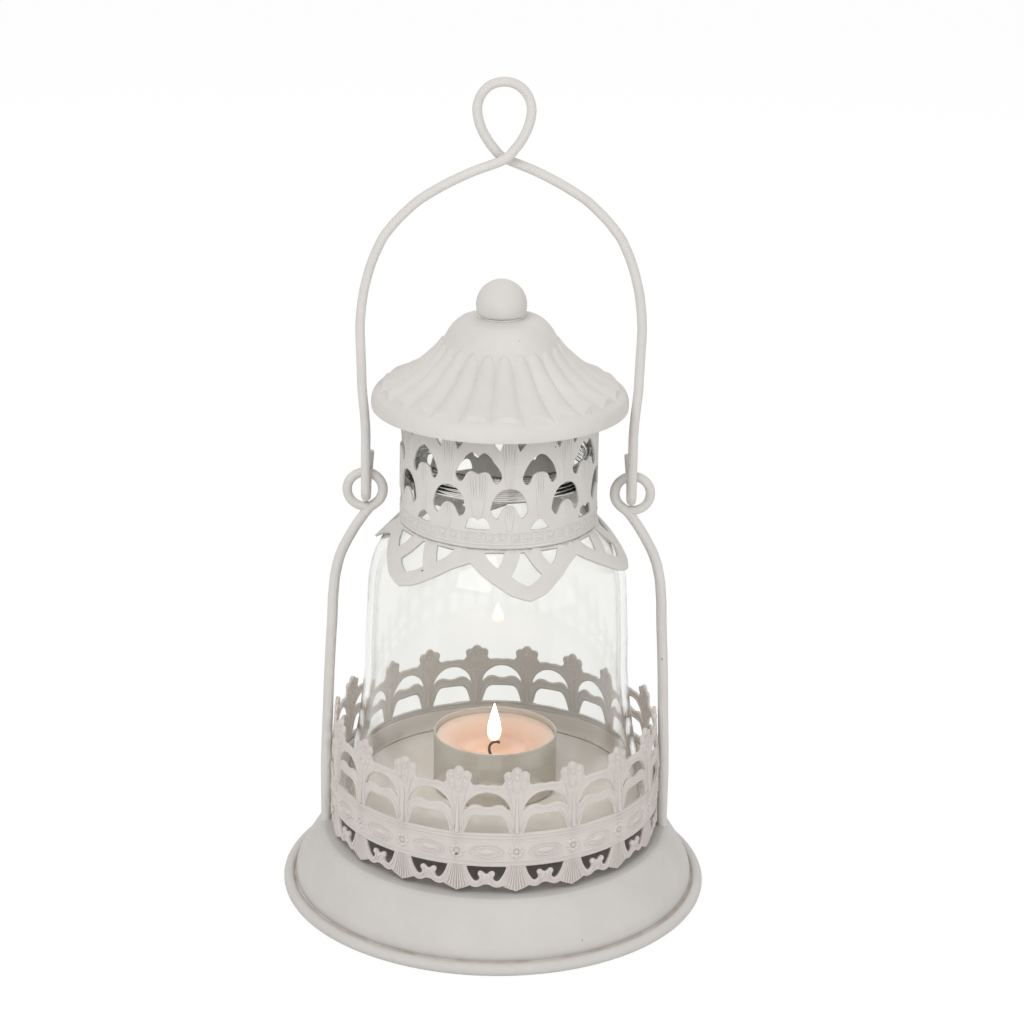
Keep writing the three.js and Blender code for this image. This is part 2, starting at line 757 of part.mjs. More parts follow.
function wick() {
  const low = cupFloorZ + tabH;
  const points = [
    [0, 0, low], [0, 0, (low + poolZ) / 2], [0, 0, poolZ], [-0.4, 0, poolZ + wickShow * 0.3],
    [-0.6, 0, poolZ + wickShow * 0.62], [0, 0, poolZ + wickShow * 0.92], [1.1, 0, poolZ + wickShow * 1.02],
    [2, 0, poolZ + wickShow * 0.94],
  ];
  return closedMesh(wire(points.map((p) => new THREE.Vector3(...p)), wickR, 6));
}

add('tealight_cup', tealightCup(), 0xb3b0ab, 0.35, 0.9);
add('tealight_wax', tealightWax(), 0xf4c9a8, 0.45);
add('wick', wick(), 0x3a2018, 0.9);
add('wick_tab', wickTab(), 0xb3b0ab, 0.35, 0.9);

export default group;
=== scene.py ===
import bmesh
import bpy
from math import atan2, cos, hypot, pi, radians, sin
from mathutils import Matrix, Vector


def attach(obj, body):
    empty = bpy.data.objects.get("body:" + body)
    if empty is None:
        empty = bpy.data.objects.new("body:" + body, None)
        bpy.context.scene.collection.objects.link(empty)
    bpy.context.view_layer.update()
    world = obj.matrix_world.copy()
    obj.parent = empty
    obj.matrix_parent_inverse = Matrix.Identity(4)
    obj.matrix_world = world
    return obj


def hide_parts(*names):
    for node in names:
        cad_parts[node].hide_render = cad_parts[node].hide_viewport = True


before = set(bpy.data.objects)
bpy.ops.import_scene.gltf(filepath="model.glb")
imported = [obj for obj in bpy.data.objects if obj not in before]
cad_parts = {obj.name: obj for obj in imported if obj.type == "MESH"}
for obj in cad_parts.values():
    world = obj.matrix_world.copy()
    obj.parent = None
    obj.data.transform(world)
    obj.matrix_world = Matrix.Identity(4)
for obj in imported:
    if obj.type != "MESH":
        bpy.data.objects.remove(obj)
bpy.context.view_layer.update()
mm = 0.001  # the pieces are given in millimetres, Blender works in metres
scene = bpy.context.scene
print("frame loaded")

# places in metres, angles in degrees, lens and sensor in millimetres
camera = {
    "place": (0.00405, -0.759, 0.386), "down": 19.23, "roll": 0.95,
    "lens": 94.25, "sensor": 36, "near": 0.01,
}


def placeCamera(view):
    data = bpy.data.cameras.new("camera")
    data.lens = view["lens"]
    data.sensor_width = view["sensor"]
    data.clip_start = view["near"]
    eye = bpy.data.objects.new("camera", data)
    scene.collection.objects.link(eye)
    tilt = Matrix.Rotation(radians(90 - view["down"]), 4, "X")
    turn = tilt @ Matrix.Rotation(radians(view["roll"]), 4, "Z")
    eye.matrix_world = Matrix.Translation(view["place"]) @ turn
    scene.camera = eye


placeCamera(camera)
scene.view_settings.view_transform = "Standard"
print("camera placed")


# helpers for the node trees

def startMaterial(name):
    material = bpy.data.materials.new(name)
    material.use_nodes = True
    tree = material.node_tree
    coords = tree.nodes.new("ShaderNodeTexCoord")
    return material, tree, tree.nodes["Principled BSDF"], coords.outputs["Object"]


def noiseAt(tree, coords, scale, detail=2.0, roughness=0.5, distortion=0.0):
    cloud = tree.nodes.new("ShaderNodeTexNoise")
    cloud.inputs["Scale"].default_value = scale
    cloud.inputs["Detail"].default_value = detail
    cloud.inputs["Roughness"].default_value = roughness
    cloud.inputs["Distortion"].default_value = distortion
    tree.links.new(coords, cloud.inputs["Vector"])
    return cloud.outputs["Fac"]


def mapRange(tree, value, fromMin, fromMax, toMin, toMax):
    ranged = tree.nodes.new("ShaderNodeMapRange")
    sockets = ("From Min", "From Max", "To Min", "To Max")
    for socket, number in zip(sockets, (fromMin, fromMax, toMin, toMax)):
        ranged.inputs[socket].default_value = number
    tree.links.new(value, ranged.inputs["Value"])
    return ranged.outputs["Result"]


def calculate(tree, operation, first, second, third=None):
    step = tree.nodes.new("ShaderNodeMath")
    step.operation = operation
    for socket, value in zip(step.inputs, (first, second, third)):
        if hasattr(value, "is_linked"):
            tree.links.new(value, socket)
        elif value is not None:
            socket.default_value = value
    return step.outputs[0]


def stretched(tree, coords, scale):
    mapping = tree.nodes.new("ShaderNodeMapping")
    mapping.inputs["Scale"].default_value = scale
    tree.links.new(coords, mapping.inputs["Vector"])
    return mapping.outputs[0]


def radiusAndHeight(tree, coords):
    split = tree.nodes.new("ShaderNodeSeparateXYZ")
    tree.links.new(coords, split.inputs[0])
    flat = tree.nodes.new("ShaderNodeCombineXYZ")
    tree.links.new(split.outputs["X"], flat.inputs["X"])
    tree.links.new(split.outputs["Y"], flat.inputs["Y"])
    length = tree.nodes.new("ShaderNodeVectorMath")
    length.operation = "LENGTH"
    tree.links.new(flat.outputs[0], length.inputs[0])
    return length.outputs["Value"], split.outputs["Z"]


def colourRamp(tree, value, stops):
    ramp = tree.nodes.new("ShaderNodeValToRGB")
    steps = ramp.color_ramp.elements
    while len(steps) < len(stops):
        steps.new(0.5)
    for step, (place, colour) in zip(steps, stops):
        step.position = place
        step.color = (*colour, 1)
    tree.links.new(value, ramp.inputs["Fac"])
    return ramp.outputs["Color"]


def mixColours(tree, factor, first, second):
    mix = tree.nodes.new("ShaderNodeMix")
    mix.data_type = "RGBA"
    tree.links.new(factor, mix.inputs[0])
    tree.links.new(first, mix.inputs[6])
    mix.inputs[7].default_value = (*second, 1)
    return mix.outputs[2]


def bumpFrom(tree, height, strength, distance, below=None):
    bump = tree.nodes.new("ShaderNodeBump")
    bump.inputs["Strength"].default_value = strength
    bump.inputs["Distance"].default_value = distance
    tree.links.new(height, bump.inputs["Height"])
    if below is not None:
        tree.links.new(below, bump.inputs["Normal"])
    return bump.outputs["Normal"]


def mixShaders(tree, factor, first, second, output):
    mix = tree.nodes.new("ShaderNodeMixShader")
    tree.links.new(factor, mix.inputs["Fac"])
    tree.links.new(first, mix.inputs[1])
    tree.links.new(second, mix.inputs[2])
    tree.links.new(mix.outputs[0], tree.nodes[output].inputs["Surface"])


studio = {  # in metres and watts
    "softbox": {"place": (-0.35, -0.75, 1.05), "size": 0.7, "power": 5.4},
    "front": {"place": (-0.45, -0.95, 0.3), "size": 0.6, "power": 1.0},
    "fill": {"place": (0.9, -0.6, 0.45), "size": 0.8, "power": 2.3},
    "back": {"place": (0.1, 0.9, 0.9), "size": 0.9, "power": 3.0},
    "aim": (0, 0, 0.11),
    "sky": 0.55,  # what the world gives to the object
    "skyColour": (1, 0.995, 0.985, 1),
    "floorShade": 0.08,  # how much of its shadow the white floor shows
    "floorWhite": 1.03,
    "floorColour": (0.86, 0.86, 0.86, 1),
    "floorHalf": 6.0,
    "floorZ": -0.02 * mm,
}


def areaLight(name, light):
    data = bpy.data.lights.new(name, "AREA")
    data.shape = "SQUARE"
    data.size = light["size"]
    data.energy = light["power"]
    lamp = bpy.data.objects.new(name, data)
    scene.collection.objects.link(lamp)
    lamp.location = light["place"]
    aim = Vector(studio["aim"]) - lamp.location
    lamp.rotation_euler = aim.to_track_quat("-Z", "Y").to_euler()
    lamp.visible_glossy = False


for name in ("softbox", "front", "fill", "back"):
    areaLight(name, studio[name])


def seenDirectly(tree):
    # 1 for the camera and for what metal and glass show, 0 for light on the object
    path = tree.nodes.new("ShaderNodeLightPath")
    shown = calculate(tree, "MAXIMUM", path.outputs["Is Glossy Ray"], path.outputs["Is Transmission Ray"])
    return calculate(tree, "MAXIMUM", path.outputs["Is Camera Ray"], shown)


def paintWorld():
    world = bpy.data.worlds.new("studio")
    world.use_nodes = True
    scene.world = world
    tree = world.node_tree
    lit = tree.nodes["Background"]
    lit.inputs["Color"].default_value = studio["skyColour"]
    lit.inputs["Strength"].default_value = studio["sky"]
    white = tree.nodes.new("ShaderNodeBackground")
    white.inputs["Color"].default_value = (1, 1, 1, 1)
    mixShaders(tree, seenDirectly(tree), lit.outputs[0], white.outputs[0], "World Output")


def layFloor():
    material, tree, shader, _ = startMaterial("floorPaper")
    tree.nodes.remove(shader)
    matt = tree.nodes.new("ShaderNodeBsdfDiffuse")
    matt.inputs["Color"].default_value = studio["floorColour"]
    white = tree.nodes.new("ShaderNodeEmission")
    white.inputs["Strength"].default_value = studio["floorWhite"]
    share = mapRange(tree, seenDirectly(tree), 0, 1, 0, 1 - studio["floorShade"])
    mixShaders(tree, share, matt.outputs[0], white.outputs[0], "Material Output")
    bm = bmesh.new()
    bmesh.ops.create_grid(bm, x_segments=1, y_segments=1, size=studio["floorHalf"])
    bmesh.ops.translate(bm, verts=bm.verts, vec=(0, 0, studio["floorZ"]))
    mesh = bpy.data.meshes.new("floor")
    bm.to_mesh(mesh)
    bm.free()
    mesh.materials.append(material)
    ground = bpy.data.objects.new("floor", mesh)
    scene.collection.objects.link(ground)


paintWorld()
layFloor()
print("studio lit")


# finishes

chalk = {
    "colour": (0.69, 0.667, 0.64),
    "spread": 0.03,  # how far the blotches lighten and darken it
    "blotches": 70,  # this and the other scales count noise cells in a metre
    "grime": (0.47, 0.44, 0.41),
    "grimeScale": 320,
    "grimeMost": 0.07,
    "chip": (0.14, 0.11, 0.09),
    "chipScale": 430,
    "chipsFrom": 0.805,
    "chipEdge": 0.015,
    "roughness": (0.62, 0.82),
    "specular": 0.35,
    "grainScale": 900,
    "grain": (0.28, 0.05 * mm),  # strength and depth
    "dentScale": 260,
    "dentDepth": 0.12 * mm,
    "rust": (0.36, 0.27, 0.2),
    "rustScale": 150,
    "rustLine": (62.0 * mm, 3.1 * mm),  # radius and height of the groove above the bead
    "rustReach": (0.35 * mm, 1.1 * mm),
}


def chalkPaint(name, tone=1.0, cast=(1, 1, 1), mottle=0.22, rusty=False):
    material, tree, shader, coords = startMaterial(name)
    base = [channel * tone * tint for channel, tint in zip(chalk["colour"], cast)]
    dark = [channel * (1 - chalk["spread"]) for channel in base]
    light = [channel * (1 + chalk["spread"]) for channel in base]
    shade = colourRamp(tree, noiseAt(tree, coords, chalk["blotches"], 3), [(0.3, dark), (0.7, light)])
    grime = noiseAt(tree, coords, chalk["grimeScale"], 4, 0.65)
    shade = mixColours(tree, mapRange(tree, grime, 0.35, 0.75, 0, chalk["grimeMost"]), shade, chalk["grime"])
    chips = noiseAt(tree, coords, chalk["chipScale"], 1, 0.4, 0.4)
    chipped = mapRange(tree, chips, chalk["chipsFrom"], chalk["chipsFrom"] + chalk["chipEdge"], 0, 1)
    shade = mixColours(tree, chipped, shade, chalk["chip"])
    if rusty:
        radius, height = radiusAndHeight(tree, coords)
        away = tree.nodes.new("ShaderNodeCombineXYZ")
        tree.links.new(radius, away.inputs["X"])
        tree.links.new(height, away.inputs["Z"])
        distance = tree.nodes.new("ShaderNodeVectorMath")
        distance.operation = "DISTANCE"
        tree.links.new(away.outputs[0], distance.inputs[0])
        lineR, lineZ = chalk["rustLine"]
        distance.inputs[1].default_value = (lineR, 0, lineZ)
        near = mapRange(tree, distance.outputs["Value"], *chalk["rustReach"], 1, 0)
        broken = mapRange(tree, noiseAt(tree, coords, chalk["rustScale"], 3), 0.4, 0.65, 0.15, 0.55)
        shade = mixColours(tree, calculate(tree, "MULTIPLY", near, broken), shade, chalk["rust"])
    tree.links.new(shade, shader.inputs["Base Color"])
    grain = noiseAt(tree, coords, chalk["grainScale"], 4, 0.6)
    tree.links.new(mapRange(tree, grain, 0.3, 0.7, *chalk["roughness"]), shader.inputs["Roughness"])
    shader.inputs["Specular IOR Level"].default_value = chalk["specular"]
    dents = bumpFrom(tree, noiseAt(tree, coords, chalk["dentScale"], 2), mottle, chalk["dentDepth"])
    tree.links.new(bumpFrom(tree, grain, *chalk["grain"], dents), shader.inputs["Normal"])
    return material


scratchScale = 700


def brightSteel(name, dark, light, roughness):
    material, tree, shader, coords = startMaterial(name)
    shader.inputs["Metallic"].default_value = 1
    scratches = noiseAt(tree, coords, scratchScale, 4)
    tree.links.new(colourRamp(tree, scratches, [(0.3, dark), (0.7, light)]), shader.inputs["Base Color"])
    tree.links.new(mapRange(tree, scratches, 0.3, 0.7, *roughness), shader.inputs["Roughness"])
    return material


foilLook = {
    "metallic": 0.45,
    "colours": [(0.3, (0.58, 0.54, 0.48)), (0.7, (0.66, 0.615, 0.55))],
    "drawnScale": 90,
    "drawnStretch": (1, 1, 9),
    "roughness": (0.5, 0.65),
    "dentScale": 110,
    "dents": (0.2, 0.4 * mm),  # strength and depth
}


def cupFoil(name):
    material, tree, shader, coords = startMaterial(name)
    f = foilLook
    shader.inputs["Metallic"].default_value = f["metallic"]
    drawn = noiseAt(tree, stretched(tree, coords, f["drawnStretch"]), f["drawnScale"], 3)
    tree.links.new(colourRamp(tree, drawn, f["colours"]), shader.inputs["Base Color"])
    tree.links.new(mapRange(tree, drawn, 0.3, 0.7, *f["roughness"]), shader.inputs["Roughness"])
    dents = bumpFrom(tree, noiseAt(tree, coords, f["dentScale"], 2), *f["dents"])
    tree.links.new(dents, shader.inputs["Normal"])
    return material


waxLook = {
    "colours": [  # from the wick out to the cup
        (0.0, (0.8, 0.425, 0.25)),
        (0.5, (0.81, 0.465, 0.3)),
        (0.74, (0.83, 0.56, 0.43)),
        (1.0, (0.85, 0.64, 0.53)),
    ],
    "waveScale": 160,
    "wave": 0.12,
    "scatter": 0.25,
    "scatterReach": (3 * mm, 1.5 * mm, 0.8 * mm),
    "melted": (0.5, 0.7),  # shares of the radius over which it turns from liquid to hard
    "roughness": (0.12, 0.45),
}


def meltedWax(name, waxRadius):
    material, tree, shader, coords = startMaterial(name)
    w = waxLook
    radius, _ = radiusAndHeight(tree, coords)
    far = mapRange(tree, radius, 0, waxRadius, 0, 1)
    wavy = calculate(tree, "MULTIPLY_ADD", noiseAt(tree, coords, w["waveScale"], 2), w["wave"], far)
    tree.links.new(colourRamp(tree, wavy, w["colours"]), shader.inputs["Base Color"])
    shader.inputs["Subsurface Weight"].default_value = w["scatter"]
    shader.inputs["Subsurface Radius"].default_value = w["scatterReach"]
    shader.inputs["Subsurface Scale"].default_value = 1
    tree.links.new(mapRange(tree, far, *w["melted"], *w["roughness"]), shader.inputs["Roughness"])
    return material


glassLook = {
    "colours": [  # from face on to edge on; the darker edge-on colours are painted shade, dark surroundings seen in the glass
        (0.0, (0.945, 0.948, 0.93)),
        (0.7, (0.937, 0.94, 0.922)),
        (0.93, (0.83, 0.84, 0.82)),
        (1.0, (0.6, 0.61, 0.59)),
    ],
    # the streak colour paints reflections as darker vertical streaks
    "streak": (0.88, 0.885, 0.87),
    "streakMost": 0.4,
    "streakScale": 60,
    "streakStretch": (1, 1, 0.12),
    "waveScale": 26,
    "waves": (0.12, 1.2 * mm),  # strength and depth
    "ior": 1.45,
    "shadow": (0.97, 0.955, 0.93, 1),
}


def clearGlass(name):
    material, tree, shader, coords = startMaterial(name)
    g = glassLook
    edge = tree.nodes.new("ShaderNodeLayerWeight")
    edge.inputs["Blend"].default_value = 0.5
    # painted shade and painted reflections: darker edge on and in vertical streaks
    shade = colourRamp(tree, edge.outputs["Facing"], g["colours"])
    streaks = noiseAt(tree, stretched(tree, coords, g["streakStretch"]), g["streakScale"], 2)
    shade = mixColours(tree, mapRange(tree, streaks, 0.45, 0.7, 0, g["streakMost"]), shade, g["streak"])
    tree.links.new(shade, shader.inputs["Base Color"])
    shader.inputs["Transmission Weight"].default_value = 1
    shader.inputs["Roughness"].default_value = 0
    shader.inputs["IOR"].default_value = g["ior"]
    waves = bumpFrom(tree, noiseAt(tree, coords, g["waveScale"], 1), *g["waves"])
    tree.links.new(waves, shader.inputs["Normal"])
    path = tree.nodes.new("ShaderNodeLightPath")  # light comes through without caustics
    through = tree.nodes.new("ShaderNodeBsdfTransparent")
    through.inputs["Color"].default_value = g["shadow"]
    mixShaders(tree, path.outputs["Is Shadow Ray"], shader.outputs[0], through.outputs[0], "Material Output")
    return material


wickLook = {
    "colours": [(0.3, (0.02, 0.008, 0.005)), (0.75, (0.1, 0.035, 0.02))],
    "strandScale": 1500,
    "strands": (0.5, 0.1 * mm),  # strength and depth
    "roughness": 0.9,
}


def charredWick(name):
    material, tree, shader, coords = startMaterial(name)
    strands = noiseAt(tree, coords, wickLook["strandScale"], 3)
    tree.links.new(colourRamp(tree, strands, wickLook["colours"]), shader.inputs["Base Color"])
    shader.inputs["Roughness"].default_value = wickLook["roughness"]
    tree.links.new(bumpFrom(tree, strands, *wickLook["strands"]), shader.inputs["Normal"])
    return material


paint = chalkPaint("chalkPaint")
# the gallery's copy of the chalk paint: its warm cast is painted candle glow and its lower tone is painted
# shade
candleGlowShadePaint = chalkPaint("chalkPaintCandleGlowShade", 0.96, (1.01, 0.966, 0.958))
# the pan's copy of the chalk paint: its raised tone and warm cast are painted candle light inside the chimney
panCandleGlowPaint = chalkPaint("chalkPaintPanCandleGlow", 1.1, (1.01, 0.966, 0.95))
mottledPaint = chalkPaint("chalkPaintMottled", 1.0, (1, 1, 1), 0.5)
# the base's copy of the chalk paint: its lowered tone is painted shade, while the rust along the groove is
# real
rustyShadedPaint = chalkPaint("chalkPaintBaseShaded", 0.9, rusty=True)
steel = brightSteel("brightSteel", (0.56, 0.55, 0.53), (0.72, 0.71, 0.69), (0.2, 0.38))
polished = brightSteel("polishedSteel", (0.86, 0.85, 0.83), (0.93, 0.92, 0.9), (0.2, 0.3))
foil = cupFoil("cupFoil")
glassClear = clearGlass("clearGlass")
print("finishes made")


# helpers for the pieces

closeBy = {"spun": 0.002 * mm, "sheet": 0.01 * mm, "cut": 0.0001 * mm}  # what counts as the same place


def smoothLine(points, between):
    # a curve through the points, with this many steps from each to the next
    knots = [Vector(p) for p in points]
    line = []
    for i in range(len(knots) - 1):
        b, c = knots[i], knots[i + 1]
        a = knots[i - 1] if i > 0 else b * 2 - c
        d = knots[i + 2] if i + 2 < len(knots) else c * 2 - b
        for k in range(between):
            t = k / between
            bend = (2 * a - 5 * b + 4 * c - d) * t ** 2 + (3 * b - a - 3 * c + d) * t ** 3
            line.append(0.5 * (2 * b + (c - a) * t + bend))
    return line + [knots[-1]]


def addPiece(bm, name, material, body, node=None, sharp=35):
    mesh = bpy.data.meshes.new(name)
    bm.to_mesh(mesh)
    bm.free()
    mesh.materials.append(material)
    mesh.shade_smooth()
    mesh.set_sharp_from_angle(angle=radians(sharp))
    piece = bpy.data.objects.new(name, mesh)
    scene.collection.objects.link(piece)
    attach(piece, body)
    if node:
        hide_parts(node)
    return piece


def giveSheet(piece, thickness, softness):
    wall = piece.modifiers.new("sheet", "SOLIDIFY")
    wall.thickness = thickness * mm
    wall.offset = -1
    edge = piece.modifiers.new("softEdge", "BEVEL")
    edge.width = softness * mm
    edge.segments = 2
    edge.limit_method = "ANGLE"
    edge.angle_limit = radians(50)


def spun(profile, steps, closed=True):
    bm = bmesh.new()
    verts = [bm.verts.new((r * mm, 0, z * mm)) for r, z in profile]
    edges = [bm.edges.new(pair) for pair in zip(verts, verts[1:])]
    if closed:
        edges.append(bm.edges.new((verts[-1], verts[0])))
    bmesh.ops.spin(
        bm, geom=verts + edges, cent=(0, 0, 0), axis=(0, 0, 1), angle=2 * pi, steps=steps, use_merge=True
    )
    bmesh.ops.remove_doubles(bm, verts=bm.verts, dist=closeBy["spun"])
    bmesh.ops.recalc_face_normals(bm, faces=bm.faces)
    return bm


def arc(centreR, centreZ, radius, start, stop, steps):
    angles = [radians(start + (stop - start) * k / steps) for k in range(steps + 1)]
    return [(centreR + radius * cos(angle), centreZ + radius * sin(angle)) for angle in angles]


def smoothProfile(points, between):
    return [(p.x, p.y) for p in smoothLine([(r, z, 0) for r, z in points], between)]


def addRibs(bm, ribs, roundness=1):
    # each rib is its points, its radius or first and last radius, and whether it closes
    curve = bpy.data.curves.new("ribs", "CURVE")
    curve.dimensions = "3D"
    curve.bevel_depth = mm
    curve.bevel_resolution = roundness
    curve.use_fill_caps = True
    for points, radius, closed in ribs:
        first, last = radius if isinstance(radius, tuple) else (radius, radius)
        spline = curve.splines.new("POLY")
        spline.points.add(len(points) - 1)
        spline.use_cyclic_u = closed
        for k, (knot, place) in enumerate(zip(spline.points, points)):
            knot.co = (*(Vector(place) * mm), 1)
            knot.radius = first + (last - first) * k / (len(points) - 1)
    holder = bpy.data.objects.new("ribs", curve)
    bm.from_mesh(holder.to_mesh())
    holder.to_mesh_clear()
    bpy.data.objects.remove(holder)
    bpy.data.curves.remove(curve)


def wirePiece(name, line, radius, body, node):
    bm = bmesh.new()
    addRibs(bm, [(line, radius, False)], 4)
    bmesh.ops.recalc_face_normals(bm, faces=bm.faces)
    addPiece(bm, name, paint, body, node, 60)


def addBead(bm, u, z, radius, tall=0.6, wide=1.0):
    place = Matrix.Translation(Vector((u, z, 0)) * mm) @ Matrix.Diagonal((wide, 1, tall, 1))
    bmesh.ops.create_uvsphere(bm, u_segments=8, v_segments=6, radius=radius * mm, matrix=place)


def ridge(points, lift, between):
    return [(p.x, p.y, lift) for p in smoothLine([(u, z, 0) for u, z in points], between)]


def mirrored(points):
    return [(-u, *rest) for u, *rest in points]


def ringOf(u, z, radiusU, radiusZ, count):
    angles = [2 * pi * k / count for k in range(count)]
    return [(u + radiusU * cos(angle), z + radiusZ * sin(angle), 0) for angle in angles]


def cornered(points, between):
    # a smooth line that keeps a corner at each point with a third number
    stretches, current = [], []
    for point in points:
        current.append((point[0], point[1], 0))
        if len(point) > 2 and len(current) > 1:
            stretches.append(current)
            current = [current[-1]]
    if len(current) > 1:
        stretches.append(current)
    line = []
    for stretch in stretches:
        part = smoothLine(stretch, between if len(stretch) > 2 else 1)
        line.extend(part[1:] if line else part)
    return [(p.x, p.y) for p in line]


def bothSides(half, between):
    right = cornered(half, between)
    return right + [(-u, z) for u, z in reversed(right) if u > 1e-6]


def filledSheet(loops):
    bm = bmesh.new()
    for loop in loops:
        verts = [bm.verts.new((u * mm, z * mm, 0)) for u, z in loop]
        for pair in zip(verts, verts[1:] + verts[:1]):
            bm.edges.new(pair)
    bmesh.ops.triangle_fill(bm, use_beauty=True, use_dissolve=False, edges=bm.edges[:], normal=(0, 0, 1))
    return bm


def cutAcross(bm, direction, first, last, step):
    for k in range(int(round((last - first) / step)) + 1):
        place = Vector(direction) * (first + step * k) * mm
        everything = bm.verts[:] + bm.edges[:] + bm.faces[:]
        bmesh.ops.bisect_plane(bm, geom=everything, dist=closeBy["cut"], plane_co=place, plane_no=direction)


def wrapped(bm, place, turn):
    # bends what was drawn flat, as way along, height and lift, round the axis
    around = Matrix.Rotation(turn, 3, "Z")
    for vert in bm.verts:
        u, z, lift = vert.co / mm
        vert.co = around @ place(u, z, lift)


def repeatRound(bm, count):
    bmesh.ops.spin(
        bm, geom=bm.verts[:] + bm.edges[:] + bm.faces[:], cent=(0, 0, 0), axis=(0, 0, 1),
        angle=2 * pi * (count - 1) / count, steps=count - 1, use_duplicate=True
    )


def joined(bm):
    bmesh.ops.remove_doubles(bm, verts=bm.verts, dist=closeBy["sheet"])
    bmesh.ops.recalc_face_normals(bm, faces=bm.faces)


print("helpers ready")


# base dish

base = {
    "steps": 192,
    "top": [(2.3, 19.0), (15.0, 19.0), (30.0, 19.0), (45.0, 19.0), (51.2, 19.0), (52.1, 18.98)],
    "slope": [(52.8, 19.0), (54.6, 17.75), (56.1, 15.2), (58.0, 12.1), (59.7, 9.3), (61.0, 6.9), (61.5, 5.2),
              (61.6, 4.2)],
    "groove": (61.45, 3.1), "beadR": 63.7, "bead": 1.8,
    "foot": [(64.2, 0), (63.2, 0), (62.1, 0.5), (61.4, 1.6)],
    "inset": (0.68, 0.4),  # from the slope in and down to its inner side
    "under": [(51.5, 18.2), (2.3, 18.2)],
}


def makeBase():
    b = base
    slope = smoothProfile(b["slope"], 5)
    bead = arc(b["beadR"], b["bead"], b["bead"], 150, -70, 14)
    across, down = b["inset"]
    inside = [(r - across, z - down) for r, z in reversed(slope)]
    bm = spun(b["top"] + slope + [b["groove"]] + bead + b["foot"] + inside + b["under"], b["steps"])
    addPiece(bm, "baseDish", rustyShadedPaint, "frame", "base_dish", 50)


makeBase()


# pan

pan = {
    "steps": 160, "rimR": 49.0, "rimZ": 37.24, "rim": 0.36,
    "outer": [(2.3, 31.2), (40, 31.2), (47.2, 31.2), (48.2, 31.5), (48.75, 32.2), (49.0, 34.5), (49.3, 36.8)],
    "inner": [(48.35, 36.4), (48.1, 34.2), (47.85, 32.9), (47.3, 32.2), (46.4, 32.0), (44.5, 32.0),
              (30, 32.0), (2.3, 32.0)],
}


def makePan():
    rim = arc(pan["rimR"], pan["rimZ"], pan["rim"], 0, 180, 6)
    bm = spun(pan["outer"] + rim + pan["inner"], pan["steps"])
    addPiece(bm, "panDish", panCandleGlowPaint, "frame", "pan", 50)


makePan()
print("base and pan made")


# pierced gallery: half outlines, as way along from the middle of a unit and height

gallery = {
    "count": 18, "outerR": 50.5, "start": 8.0, "sheet": 0.6, "softness": 0.14,
    "beltTopZ": 38.7, "tipZ": 59.4, "lean": 1.5, "leanPower": 1.15, "footTipZ": 20.35,
    "slices": 7, "cuts": (41.5, 57.5, 2.0),  # where the flat sheet is cut so that it bends smoothly
    "crown": [(0, 54.0), (1.0, 54.15), (1.9, 54.25), (3.0, 54.1), (4.0, 53.95), (4.6, 54.3), (5.2, 55.3, 1),
              (4.85, 56.4), (5.0, 57.4), (5.6, 57.8), (6.5, 57.95), (7.2, 58.1, 1), (7.5, 58.8), (8.1, 59.3)],
    "crescent": [(0, 51.85), (2.2, 51.5), (3.7, 50.75), (5.15, 49.6), (6.2, 48.2), (6.95, 46.3, 1),
                 (6.3, 46.5), (5.6, 47.2), (4.6, 47.8), (3.3, 48.0), (2.2, 47.8), (1.0, 47.35), (0, 47.3)],
    "arch": [(0, 44.75), (3.4, 44.7), (4.4, 44.3), (5.3, 43.3), (5.95, 41.7), (6.5, 39.9), (6.9, 38.75, 1),
             (0, 38.75)],
    "lace": [(0, 28.5), (5.95, 28.5, 1), (5.8, 27.8), (5.2, 26.1), (4.4, 24.7), (3.8, 23.95), (3.1, 23.65),
             (2.4, 23.95), (2.05, 24.6), (2.15, 25.2), (2.5, 25.8), (2.45, 26.5), (1.85, 26.95), (1.1, 26.75),
             (0.5, 26.2), (0, 26.05)],
    "foot": [(0, 22.7), (0.9, 22.6), (1.6, 22.2), (2.3, 21.85), (3.2, 21.7), (4.1, 21.85), (4.8, 22.2, 1),
             (5.6, 21.7), (6.6, 21.25, 1), (7.4, 20.9), (8.1, 20.7, 1), (8.45, 20.4)],
}

